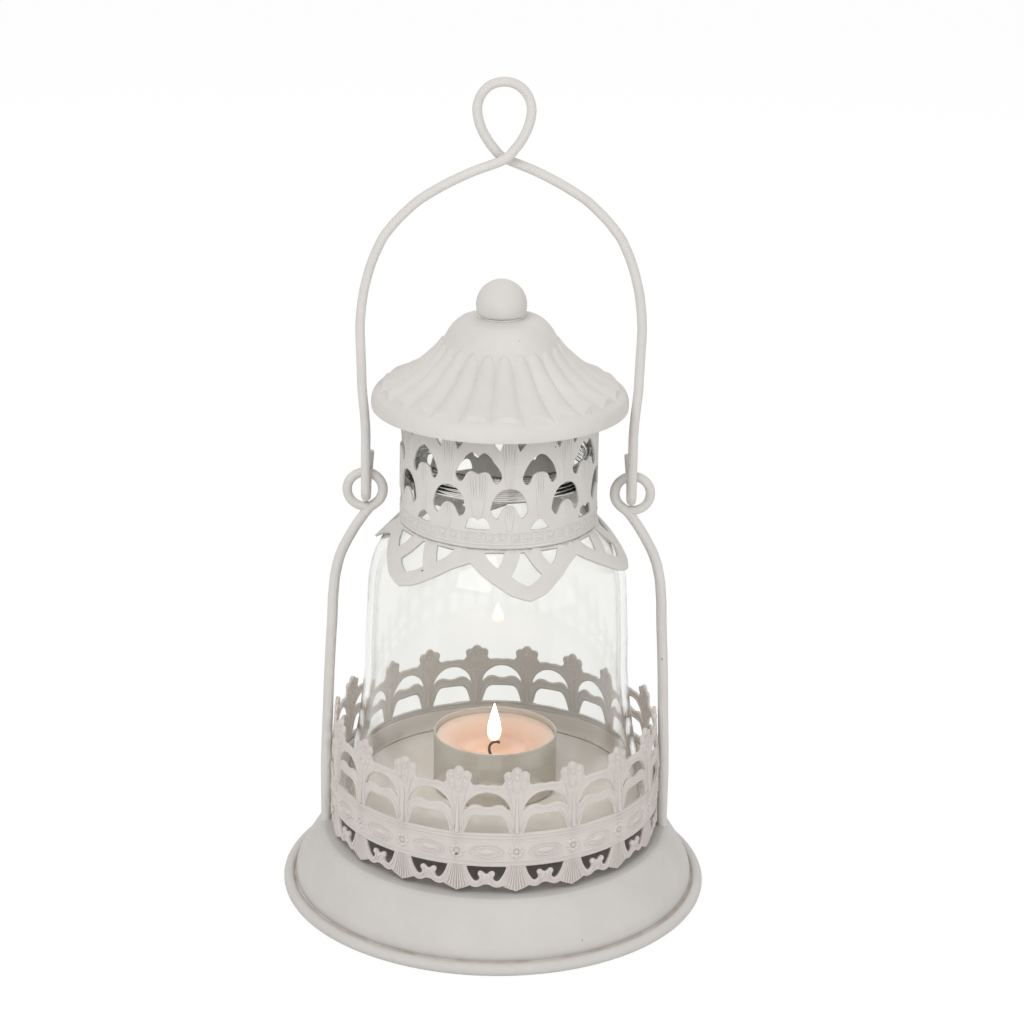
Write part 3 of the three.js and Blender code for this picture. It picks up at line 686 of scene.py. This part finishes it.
galleryTrim = {
    "rails": [(38.75, 0.32), (37.6, 0.28), (36.5, 0.15), (30.2, 0.26), (29.0, 0.2)],
    "railSteps": 12, "ovalZ": 33.2, "ovals": [(5.0, 2.35, 0.24), (3.7, 1.65, 0.26)], "ovalSteps": 28,
    "ovalBead": (0.95, 0.5, 2.7), "laceBead": (1.85, 26.0, 0.7),
    "ridges": [  # points, radius, lift
        ([(0, 52.4), (2.35, 52.0), (3.95, 51.2), (5.5, 49.95), (6.65, 48.4), (7.45, 46.4)], 0.42, -0.12),
        ([(0, 46.8), (1.0, 46.85), (2.2, 47.3), (3.3, 47.45), (4.4, 47.25), (5.4, 46.6), (6.2, 45.8),
          (7.0, 44.4), (7.5, 42.4), (7.75, 40.2)], 0.38, -0.12),
        ([(0, 45.3), (3.5, 45.25), (4.8, 44.8), (5.8, 43.6), (6.5, 41.9), (7.0, 40.0)], 0.28, 0),
        ([(0, 53.5), (1.0, 53.65), (1.9, 53.75), (3.0, 53.55), (4.2, 53.3)], 0.25, 0),
        ([(6.45, 28.4), (6.05, 26.6), (5.3, 24.7), (4.2, 23.2), (2.9, 22.9)], 0.28, 0),
        ([(3.0, 22.9), (1.9, 23.6), (1.5, 24.8), (1.9, 26.2)], 0.34, 0),
        ([(0, 25.3), (0.9, 23.9), (1.7, 23.1)], 0.25, 0),
    ],
    # the rest is measured from the middle of a post
    "stem": [(1.75, 39.6), (1.6, 43.0), (1.5, 46.5), (1.9, 50.0), (2.6, 52.6)], "stemRib": (0.3, 0.2),
    "spine": [39.4, 45.0, 50.0], "spineRib": (0.75, 0.4),
    "fan": [(0.25, 0.42, 28.6), (0.3, 0.62, 25.2)],  # way along, spread from vein to vein, height
    "fanFoot": (0.4, 0.95), "fanTip": [21.0, 21.4, 21.8, 22.2], "fanRib": (0.16, 0.4),
    "lobes": [(0, 58.2, 1.05), (2.5, 56.85, 1.05), (2.25, 54.85, 1.0), (0, 52.3, 1.0), (2.1, 53.5, 0.9)],
    "lobeRib": 0.25, "lobeBead": (0.88, 0.35),  # share of the lobe, and how tall
    "heart": (56.3, 0.8),
    "rosette": (1.6, 0.78, 8), "rosetteHeart": 0.7,  # radius of the ring, of a petal, and their number
}


def galleryPlace(u, z, lift):
    g = gallery
    up = max(0.0, (z - g["beltTopZ"]) / (g["tipZ"] - g["beltTopZ"]))
    radius = g["outerR"] - g["lean"] * up ** g["leanPower"] + lift
    azimuth = u / g["outerR"]
    return Vector((radius * sin(azimuth), -radius * cos(azimuth), z)) * mm


def galleryPlaceInside(u, z, lift):
    return galleryPlace(u, z, -lift - gallery["sheet"])


def galleryRelief(w):
    t = galleryTrim
    along = [-w + 2 * w * k / t["railSteps"] for k in range(t["railSteps"] + 1)]
    ribs = [([(u, z, 0) for u in along], radius, False) for z, radius in t["rails"]]
    for wide, high, radius in t["ovals"]:
        ribs.append((ringOf(0, t["ovalZ"], wide, high, t["ovalSteps"]), radius, True))
    halves = [(ridge(points, lift, 3), radius) for points, radius, lift in t["ridges"]]
    halves.append((ridge([(w - u, z) for u, z in t["stem"]], 0, 2), t["stemRib"]))
    for k, tip in enumerate(t["fanTip"]):
        vein = t["fan"] + [(*t["fanFoot"], tip)]
        halves.append((ridge([(w - u - spread * k, z) for u, spread, z in vein], 0, 2), t["fanRib"]))
    for line, radius in halves:
        ribs.append((line, radius, False))
        ribs.append((mirrored(line), radius, False))
    ribs.append(([(w, z, 0) for z in t["spine"]], t["spineRib"], False))
    bm = bmesh.new()
    lobes = [(w + side * u, z, size) for u, z, size in t["lobes"] for side in ((1, -1) if u else (1,))]
    addRibs(bm, ribs + [(ringOf(u, z, size, size, 12), t["lobeRib"], True) for u, z, size in lobes])
    share, tall = t["lobeBead"]
    for u, z, size in lobes:
        addBead(bm, u, z, size * share, tall)
    addBead(bm, w, *t["heart"])
    addBead(bm, 0, t["ovalZ"], *t["ovalBead"])
    addBead(bm, w, t["ovalZ"], t["rosetteHeart"])
    away, size, count = t["rosette"]
    for u, z, _ in ringOf(w, t["ovalZ"], away, away, count):
        addBead(bm, u, z, size, 0.5)
    u, z, size = t["laceBead"]
    for side in (-1, 1):
        addBead(bm, side * u, z, size)
    return bm


def makeGallery():
    g = gallery
    w = pi * g["outerR"] / g["count"]
    turn = radians(g["start"]) + pi / g["count"]
    foot = cornered(g["foot"], 3) + [(w, g["footTipZ"])]
    crown = cornered(g["crown"], 3) + [(w, g["tipZ"])]
    right = foot + list(reversed(crown))
    outline = right + [(-u, z) for u, z in reversed(right) if u > 1e-6]
    bm = filledSheet([outline] + [bothSides(g[name], 4) for name in ("crescent", "arch", "lace")])
    strip = w / g["slices"]
    cutAcross(bm, (1, 0, 0), strip - w, w - strip, strip)
    cutAcross(bm, (0, 1, 0), *g["cuts"])
    wrapped(bm, galleryPlace, turn)
    repeatRound(bm, g["count"])
    joined(bm)
    band = addPiece(bm, "galleryBand", candleGlowShadePaint, "frame", "gallery_band", 40)
    giveSheet(band, g["sheet"], g["softness"])
    for name, place in (("galleryRelief", galleryPlace), ("galleryReliefInner", galleryPlaceInside)):
        bm = galleryRelief(w)
        wrapped(bm, place, turn)
        repeatRound(bm, g["count"])
        bmesh.ops.recalc_face_normals(bm, faces=bm.faces)
        addPiece(bm, name, candleGlowShadePaint, "frame", None, 60)


makeGallery()
print("gallery made")


# uprights

upright = {
    "wire": (1.62, 1.38), "eyeX": 40.0, "eyeZ": 127.75, "eyeR": 5.35, "eyeFrom": 234, "eyeTo": -102,
    "stem": [(52.3, 18.4), (52.3, 30.0), (52.25, 40.0), (51.55, 56.7), (51.15, 66.7), (50.65, 76.6),
             (50.05, 86.5), (49.8, 93.0), (49.5, 96.2), (49.2, 99.5), (48.6, 102.7), (47.8, 105.9),
             (46.6, 109.1), (45.0, 112.3), (43.2, 115.5), (41.0, 118.9), (38.9, 121.7)],
}


def makeUpright(side, name, node):
    ring = arc(upright["eyeX"], upright["eyeZ"], upright["eyeR"], upright["eyeFrom"], upright["eyeTo"], 20)
    line = smoothLine([(side * x, 0, z) for x, z in upright["stem"] + ring], 3)
    wirePiece(name, line, upright["wire"], "frame", node)


makeUpright(-1, "leftUpright", "left_upright")
makeUpright(1, "rightUpright", "right_upright")


# bail

bail = {
    "wire": 1.42, "hookX": 39.65, "hookGap": 3.25, "bendZ": 128.75, "riseZ": 135.0,
    "tail": [(38.75, 138.8), (39.15, 134.0)], "crossZ": 228.4, "crossGap": 0.1, "topZ": 250.6,
    "arm": [(39.6, 140.8), (39.6, 147.0), (40.0, 153.2), (40.6, 159.4), (40.8, 165.5), (41.0, 171.6),
            (41.2, 179.0), (40.5, 186.8), (39.3, 192.8), (37.5, 198.7), (34.8, 204.7), (32.8, 207.6),
            (30.3, 210.6), (27.4, 213.5), (24.0, 216.5), (19.5, 219.4), (14.3, 222.3), (8.1, 225.2)],
    "loop": [(2.9, 231.2), (5.1, 234.2), (6.65, 237.3), (7.5, 240.2), (7.75, 243.3), (6.75, 246.6),
             (4.75, 249.0), (2.5, 250.2)],
}


def makeBail():
    b = bail
    cross = b["wire"] + b["crossGap"]  # half the way from wire to wire where they pass

    def arm(side):
        bend = arc(0, b["bendZ"], b["hookGap"], 0, -180, 8)
        hook = [(x, b["hookGap"], z) for x, z in b["tail"]]
        hook += [(b["hookX"], y, z) for y, z in bend] + [(b["hookX"], -b["hookGap"], b["riseZ"])]
        low, high = b["arm"][0][1], b["crossZ"]
        reach = side * cross + b["hookGap"]
        rest = [(x, -b["hookGap"] + reach * (z - low) / (high - low), z) for x, z in b["arm"]]
        return [(side * x, y, z) for x, y, z in hook + rest]

    def loop(side):
        span = b["topZ"] - b["crossZ"]
        return [(side * x, -side * cross * (1 - (z - b["crossZ"]) / span), z) for x, z in b["loop"]]

    points = arm(1) + [(0, cross, b["crossZ"])] + loop(-1) + [(0, 0, b["topZ"])]
    points += list(reversed(loop(1))) + [(0, -cross, b["crossZ"])] + list(reversed(arm(-1)))
    wirePiece("bailWire", smoothLine(points, 4), b["wire"], "bail", "bail")


makeBail()
print("wires made")


# glass chimney

glass = {
    "outside": [(45.6, 32.1), (46.1, 32.5), (46.2, 33.4), (45.5, 37.5), (44.1, 44.0), (42.4, 52.0),
                (41.2, 61.0), (40.2, 71.0), (40.0, 79.0), (39.75, 86.0), (39.35, 93.3), (39.2, 97.0),
                (38.7, 102.3), (37.4, 107.5), (35.1, 111.9), (32.3, 115.7), (29.95, 119.0), (28.3, 122.4),
                (27.6, 126.0), (27.5, 130.0), (27.5, 133.2)],
    "lipR": 27.5, "lipLow": 133.6, "lipTop": 140.9, "lipEdge": 0.4,
    "threads": 6, "threadSteps": 8, "threadHigh": 0.75,
    "foot": [(44.1, 33.0), (44.6, 32.1)], "wall": 2.1, "steps": 160,
}


def makeGlass():
    g = glass
    outside = smoothProfile(g["outside"], 4)
    edge, lipR, lipTop = g["lipEdge"], g["lipR"], g["lipTop"]
    pitch = (lipTop - edge - g["lipLow"]) / g["threads"]
    lip = []
    for k in range(g["threads"] * g["threadSteps"]):
        share = k / g["threadSteps"]
        swell = g["threadHigh"] * 0.5 * (1 - cos(2 * pi * share))
        lip.append((lipR + swell, g["lipLow"] + pitch * share))
    lip += [(lipR, lipTop - 0.35), (lipR - 0.45, lipTop)]
    lip += [(lipR - g["wall"] + edge, lipTop), (lipR - g["wall"], lipTop - edge)]
    inside = []
    for (r0, z0), (r1, z1) in zip(outside[6:], outside[7:]):  # from above the foot upward
        run = Vector((r1 - r0, z1 - z0)).normalized()
        inside.append((r0 - run.y * g["wall"], z0 + run.x * g["wall"]))
    bm = spun(outside + lip + list(reversed(inside)) + g["foot"], g["steps"])
    addPiece(bm, "glassChimney", glassClear, "chimney", "glass_chimney", 60)


makeGlass()
print("glass made")


# petal ring, drawn flat as seen from above: way across a petal and distance from the axis

petals = {
    "count": 6, "start": 14.2, "sheet": 0.75, "softness": 0.18,
    "rootR": 29.5, "rootZ": 119.75, "slope": 1.081,
    "innerR": 28.55, "innerSteps": 120, "cuts": (-39, 39, 3),
    "edge": [(0, 40.45), (1.2, 40.2), (3.2, 39.6), (6.0, 38.35), (10.5, 34.75), (13.4, 31.6)],
    "valley": (15.35, 28.75),
    "stray": (-105.8, 60, -8),  # a petal bent away: its azimuth, the reach and the size of the bend
    "kite": [(0, 30.0, 1), (0.55, 30.1, 1), (2.0, 32.2), (3.4, 33.7), (4.75, 34.75, 1), (2.6, 36.3),
             (0, 37.35)],
    "gap": [(5.35, 29.55, 1), (11.0, 28.1, 1), (9.9, 30.4), (8.0, 32.45, 1), (6.5, 31.2), (5.35, 29.55)],
}


def makePetals():
    p = petals
    right = cornered(p["edge"], 4) + [p["valley"]]
    rim = [(-t, s) for t, s in reversed(right[1:])] + right[:-1]
    gap = cornered(p["gap"], 4)[:-1]
    holes = [bothSides(p["kite"], 3), gap, [(-t, s) for t, s in reversed(gap)]]
    outline, openings = [], []
    for k in range(p["count"]):
        turn = Matrix.Rotation(radians(p["start"]) + 2 * pi * k / p["count"], 2)
        outline += [tuple(turn @ Vector((t, -s))) for t, s in rim]
        openings += [[tuple(turn @ Vector((t, -s))) for t, s in hole] for hole in holes]
    inner = arc(0, 0, p["innerR"], 0, 360, p["innerSteps"])[:-1]
    bm = filledSheet([outline, inner] + openings)
    cutAcross(bm, (1, 0, 0), *p["cuts"])
    cutAcross(bm, (0, 1, 0), *p["cuts"])
    middle, width, amount = p["stray"]
    for vert in bm.verts:
        down = max(0.0, vert.co.length / mm - p["rootR"])
        off = (atan2(vert.co.x, -vert.co.y) - radians(middle)) / radians(width)
        vert.co.rotate(Matrix.Rotation(radians(amount) * max(0.0, 1 - off * off) ** 2, 3, "Z"))
        vert.co.z = (p["rootZ"] - p["slope"] * down) * mm
    joined(bm)
    if sum(face.normal.z for face in bm.faces) < 0:
        bmesh.ops.reverse_faces(bm, faces=bm.faces)
    ring = addPiece(bm, "petalRing", paint, "petals", "petal_ring", 35)
    giveSheet(ring, p["sheet"], p["softness"])


makePetals()
print("petals made")


# collar: ten units, every second one with the wide tulip

collar = {
    "count": 10, "outerR": 29.4, "start": -11.5, "sheet": 0.6, "softness": 0.14,
    "footZ": 119.9, "topZ": 160.2, "slices": 120, "cuts": (122.5, 157.5, 5.0),
    "spare": 3.2, "seam": 0.2,  # in half units: what the flat strip has to spare, and where it is cut
    "wideTulip": [(0, 147.9), (0.9, 148.6), (1.8, 149.1), (2.9, 148.5, 1), (3.9, 147.5), (4.6, 146.2, 1),
                  (5.6, 145.1), (6.3, 144.0), (6.9, 142.6), (6.8, 141.2), (5.8, 140.0), (4.7, 140.1, 1),
                  (3.9, 141.6), (3.3, 142.7), (2.2, 143.3), (1.0, 143.0), (0, 142.5)],
    "tulip": [(0, 148.5), (1.6, 147.8), (2.9, 146.6), (4.1, 145.0), (5.0, 143.1), (5.5, 141.2), (4.7, 139.6),
              (3.7, 139.3, 1), (2.9, 140.6), (2.3, 142.0), (1.2, 142.8), (0, 142.9)],
    "dome": [(0, 138.4), (2.0, 138.0), (3.6, 136.8), (4.7, 135.0), (5.3, 132.8), (5.5, 131.3), (4.7, 129.8),
             (3.6, 129.1, 1), (2.9, 130.2), (2.1, 131.8), (1.0, 132.8), (0, 133.0)],
    "wideArch": [(0, 128.5), (1.3, 129.3), (2.6, 128.8), (3.4, 127.3), (3.7, 125.8, 1), (0, 125.6)],
    "arch": [(0, 128.6), (1.2, 128.0), (2.2, 126.9), (3.0, 125.5, 1), (0, 125.2)],
    "bud": [(1.2, 154.6, 1), (2.1, 151.6), (2.9, 149.4, 1), (4.1, 150.9), (6.3, 154.6, 1), (1.2, 154.6)],
}

collarTrim = {
    "rails": [(120.4, 0.4), (121.3, 0.22), (124.9, 0.26)],
    "squares": (122.1, 124.2), "squareHalf": 1.15, "squaresPerUnit": 5,
    # leaves as foot, tip and spread, with the places of their lobes
    "tulipLeaf": (129.9, 142.6, 1.2), "tulipLobes": ((-1.4, 1.4), (0.0,)),
    "budLeaf": (138.8, 153.6, 1.25), "budLobes": (-0.5, 0.5),
    "domeLeaf": (125.6, 132.6, 1.0), "domeLobes": (0.0,),
    "vein": [(0.35, 0), (0.75, 0.45), (1, 0.8), (0.92, 1)],  # shares of its way out and of its height
    "leafRib": (0.56, 0.4), "leafLift": -0.2, "spread": (-1, -0.35, 0.35, 1),
}


def collarPlace(u, z, lift):
    azimuth = u / collar["outerR"]
    radius = collar["outerR"] + lift
    return Vector((radius * sin(azimuth), -radius * cos(azimuth), z)) * mm


def leafRibs(centre, leaf, lobes):
    t = collarTrim
    low, high, wide = leaf
    ribs = []
    for lobe in lobes:
        for bend in t["spread"]:
            out = lobe + bend * wide
            vein = [(centre + out * along, low + (high - low) * up) for along, up in t["vein"]]
            ribs.append((ridge(vein, t["leafLift"], 4), t["leafRib"], False))
    return ribs


def collarRelief(half):
    t = collarTrim
    ribs = []
    for z, radius in t["rails"]:
        ribs.append(([(-2 * half + 4 * half * k / 40, z, -0.05) for k in range(41)], radius, False))
    for centre, lobes in zip((-half, half), t["tulipLobes"]):
        ribs += leafRibs(centre, t["tulipLeaf"], lobes)
        ribs += leafRibs(centre + half, t["budLeaf"], t["budLobes"])
        ribs += leafRibs(centre + half, t["domeLeaf"], t["domeLobes"])
    low, high = t["squares"]
    count = 2 * t["squaresPerUnit"]
    middles = [-2 * half + 4 * half * (k + 0.5) / count for k in range(count)]
    for u in middles:
        left, right = u - t["squareHalf"], u + t["squareHalf"]
        ribs.append(([(left, low, 0), (right, low, 0), (right, high, 0), (left, high, 0)], 0.16, True))
    bm = bmesh.new()
    addRibs(bm, ribs)
    for u in middles:
        addBead(bm, u, (low + high) / 2, 0.55)
    return bm


def makeCollar():
    c = collar
    half = pi * c["outerR"] / c["count"]
    around = 2 * pi * c["outerR"]
    bud = cornered(c["bud"], 1)[:-1]
    loops = []
    for k in range(-1, c["count"] + 1):
        centre = 2 * half * k - around / 2 + half
        tulip, arch = ("wideTulip", "wideArch") if k % 2 == 0 else ("tulip", "arch")
        for name, middle in ((tulip, centre), (arch, centre), ("dome", centre + half)):
            loops.append([(middle + u, z) for u, z in bothSides(c[name], 3)])
        loops.append([(centre + half + u, z) for u, z in bud])
        loops.append([(centre + half - u, z) for u, z in reversed(bud)])
    reach = around / 2 + half * c["spare"]
    outline = [(-reach, c["footZ"]), (reach, c["footZ"]), (reach, c["topZ"]), (-reach, c["topZ"])]
    bm = filledSheet([outline] + loops)
    seam = around / 2 - half * c["seam"]
    for place, direction in ((seam, 1), (seam - around, -1)):
        everything = bm.verts[:] + bm.edges[:] + bm.faces[:]
        bmesh.ops.bisect_plane(
            bm, geom=everything, dist=closeBy["cut"],
            plane_co=(place * mm, 0, 0), plane_no=(direction, 0, 0), clear_outer=True
        )
    step = around / c["slices"]
    cutAcross(bm, (1, 0, 0), seam - around + step, seam - step, step)
    cutAcross(bm, (0, 1, 0), *c["cuts"])
    wrapped(bm, collarPlace, radians(c["start"]) + pi - pi / c["count"])
    joined(bm)
    band = addPiece(bm, "collarBand", mottledPaint, "cap", "collar_band", 40)
    giveSheet(band, c["sheet"], c["softness"])
    bm = collarRelief(half)
    wrapped(bm, collarPlace, radians(c["start"]) + pi / c["count"])
    repeatRound(bm, c["count"] // 2)
    bmesh.ops.recalc_face_normals(bm, faces=bm.faces)
    addPiece(bm, "collarRelief", mottledPaint, "cap", None, 60)


makeCollar()
print("collar made")


# roof

roof = {
    "crown": [(1.8, 181.7), (8.0, 181.7), (9.5, 181.6), (12.0, 181.0), (14.0, 179.4), (15.5, 177.5),
              (17.0, 174.8), (19.0, 171.7), (22.0, 168.6), (26.0, 165.1), (30.0, 162.6), (33.5, 161.0),
              (34.3, 160.65), (35.1, 160.3), (35.9, 159.9), (36.6, 159.45), (37.4, 158.7), (37.95, 157.2),
              (38.1, 155.6), (38.0, 154.7)],
    "rim": [(37.8, 154.62), (37.3, 154.9), (37.0, 156.4)],
    "flutes": 24, "firstGroove": -3.8, "rise": 1.15, "groove": 0.35,
    "head": (18.6, 17.0, 0.9),  # where a flute begins: beside a groove, in its middle, and how gently
    "toe": (36.5, 35.1, 0.4),
    "inset": (0.64, 0.88),  # from the crown in and down to its underside
    "steps": 384,
}


def easeIn(value):
    share = min(1.0, max(0.0, value))
    return share * share * (3 - 2 * share)


def makeRoof():
    r = roof
    outside = smoothProfile(r["crown"], 6)
    hole = r["crown"][0][0]
    across, down = r["inset"]
    inside = [(max(x - across, hole), z - down) for x, z in reversed(outside[:-12:3])]  # ends above the rim
    bm = spun(outside + r["rim"] + inside, r["steps"])
    for vert in bm.verts:
        x, y, _ = vert.co / mm
        radius = hypot(x, y)
        phase = (atan2(x, -y) - radians(r["firstGroove"])) * r["flutes"] / (2 * pi)
        off = abs(phase - round(phase)) * 2  # 0 in a groove, 1 in the middle of a flute
        swell = off * (2 - off)
        side, middle, length = r["head"]
        begun = easeIn((radius - side + (side - middle) * swell) / length)
        side, middle, length = r["toe"]
        left = easeIn((side - (side - middle) * swell - radius) / length)
        vert.co.z += (r["rise"] * swell - r["groove"] * (1 - off) ** 4) * begun * left * mm
    addPiece(bm, "roofShell", paint, "cap", "roof", 60)


makeRoof()
print("roof made")


# ball and washer

finial = {
    "ballFoot": [(0, 182.35), (6.2, 182.35), (6.7, 182.43)], "ballR": 7.5, "ballZ": 185.4,
    "washer": [(1.8, 181.72), (6.63, 181.72), (6.75, 181.84), (6.75, 182.23), (6.63, 182.35), (1.8, 182.35)],
    "steps": 64,
}


def makeFinial():
    f = finial
    ball = f["ballFoot"] + arc(0, f["ballZ"], f["ballR"], -22, 90, 28)
    bm = spun([(max(r, 0), z) for r, z in ball], f["steps"], closed=False)
    addPiece(bm, "finialBall", paint, "cap", "finial_ball", 50)
    bm = spun(f["washer"], f["steps"])
    addPiece(bm, "finialWasher", polished, "cap", "finial_washer", 40)


makeFinial()


# tealight

tealight = {
    "cup": [(0, 33.2), (14.2, 33.2), (15.0, 32.3), (15.6, 32.05), (18.2, 32.05), (18.8, 32.5), (18.9, 33.4),
            (18.93, 41.0), (18.95, 49.4)],
    "rimR": 18.67, "rimZ": 50.1, "rim": 0.28,
    "cupInside": [(18.45, 49.6), (18.45, 34.6), (17.95, 33.7), (0, 33.7)],
    "waxR": 18.2, "waxFoot": [(0, 34.4), (6.7, 34.4), (6.7, 33.75), (18.2, 33.75)],
    "pool": [(18.2, 48.35), (17.4, 48.05), (15.6, 47.6), (13.2, 46.0), (11.2, 44.2), (8.4, 43.1), (4.0, 42.8),
             (0.7, 42.8)],
    "wick": [(0, 0, 34.2), (-0.4, -0.8, 38.5), (-1.1, -1.9, 41.5), (-1.4, -2.2, 43.0), (-1.75, -2.2, 44.4),
             (-1.6, -2.1, 45.8), (-0.8, -2.0, 46.8), (0.4, -1.8, 47.1), (1.4, -1.6, 46.7)],
    "wickR": 0.45,
}


def makeTealight():
    t = tealight
    bm = spun(t["cup"] + arc(t["rimR"], t["rimZ"], t["rim"], 0, 180, 6) + t["cupInside"], 128, closed=False)
    addPiece(bm, "tealightCup", foil, "tealight", "tealight_cup", 45)
    poolZ = t["pool"][-1][1]
    bm = spun(t["waxFoot"] + smoothProfile(t["pool"], 5) + [(0, poolZ)], 96, closed=False)
    addPiece(bm, "tealightWax", meltedWax("meltedWax", t["waxR"] * mm), "tealight", "tealight_wax", 50)
    bm = bmesh.new()
    addRibs(bm, [(smoothLine(t["wick"], 4), t["wickR"], False)], 2)
    bmesh.ops.recalc_face_normals(bm, faces=bm.faces)
    addPiece(bm, "wickCurl", charredWick("charredWick"), "tealight", "wick", 60)


makeTealight()


# flame, which has no part in the frame

flame = {
    "x": -0.3, "y": -1.5, "low": 47.2, "high": 59.9,
    "shape": [(0, 47.2), (1.2, 47.8), (1.9, 49.3), (2.05, 50.9), (1.8, 53.2), (1.2, 55.8), (0.55, 58.2),
              (0, 59.9)],
    "colours": [  # from its foot to its tip
        (0.0, (1.0, 0.42, 0.14)),
        (0.16, (1.0, 0.68, 0.3)),
        (0.4, (1.0, 0.93, 0.68)),
        (1.0, (0.98, 0.95, 0.82)),
    ],
    "clearTo": 0.35, "solid": (0.1, 0.97),  # share of the height where it is thin, and how solid it is
    "seen": 1.08, "inReflections": 6.75, "onObject": 1.75,  # strengths, the last two added to the first
}


def flameGlow(name):
    material, tree, shader, coords = startMaterial(name)
    tree.nodes.remove(shader)
    _, z = radiusAndHeight(tree, coords)
    height = mapRange(tree, z, flame["low"] * mm, flame["high"] * mm, 0, 1)
    glow = tree.nodes.new("ShaderNodeEmission")
    tree.links.new(colourRamp(tree, height, flame["colours"]), glow.inputs["Color"])
    path = tree.nodes.new("ShaderNodeLightPath")
    lit = calculate(tree, "MULTIPLY_ADD", path.outputs["Is Diffuse Ray"], flame["onObject"], flame["seen"])
    lit = calculate(tree, "MULTIPLY_ADD", path.outputs["Is Glossy Ray"], flame["inReflections"], lit)
    tree.links.new(lit, glow.inputs["Strength"])
    clear = tree.nodes.new("ShaderNodeBsdfTransparent")
    solid = mapRange(tree, height, 0, flame["clearTo"], *flame["solid"])
    mixShaders(tree, solid, clear.outputs[0], glow.outputs[0], "Material Output")
    return material


def makeFlame():
    profile = [(max(r, 0), z) for r, z in smoothProfile(flame["shape"], 4)]
    bm = spun(profile, 32, closed=False)
    bmesh.ops.translate(bm, verts=bm.verts, vec=(flame["x"] * mm, flame["y"] * mm, 0))
    addPiece(bm, "flame", flameGlow("flameGlow"), "tealight", sharp=180)


makeFlame()
print("tealight made")


# hidden parts that keep the frame's own mesh

stays = {
    "pan_spacer": steel,
    "centre_rivet": steel,
    "roof_washer": steel,
    "finial_screw": steel,
    "wick_tab": foil,
}
for node, material in stays.items():
    kept = bpy.data.objects[node]
    kept.data.materials.clear()
    kept.data.materials.append(material)
print("frame parts finished")
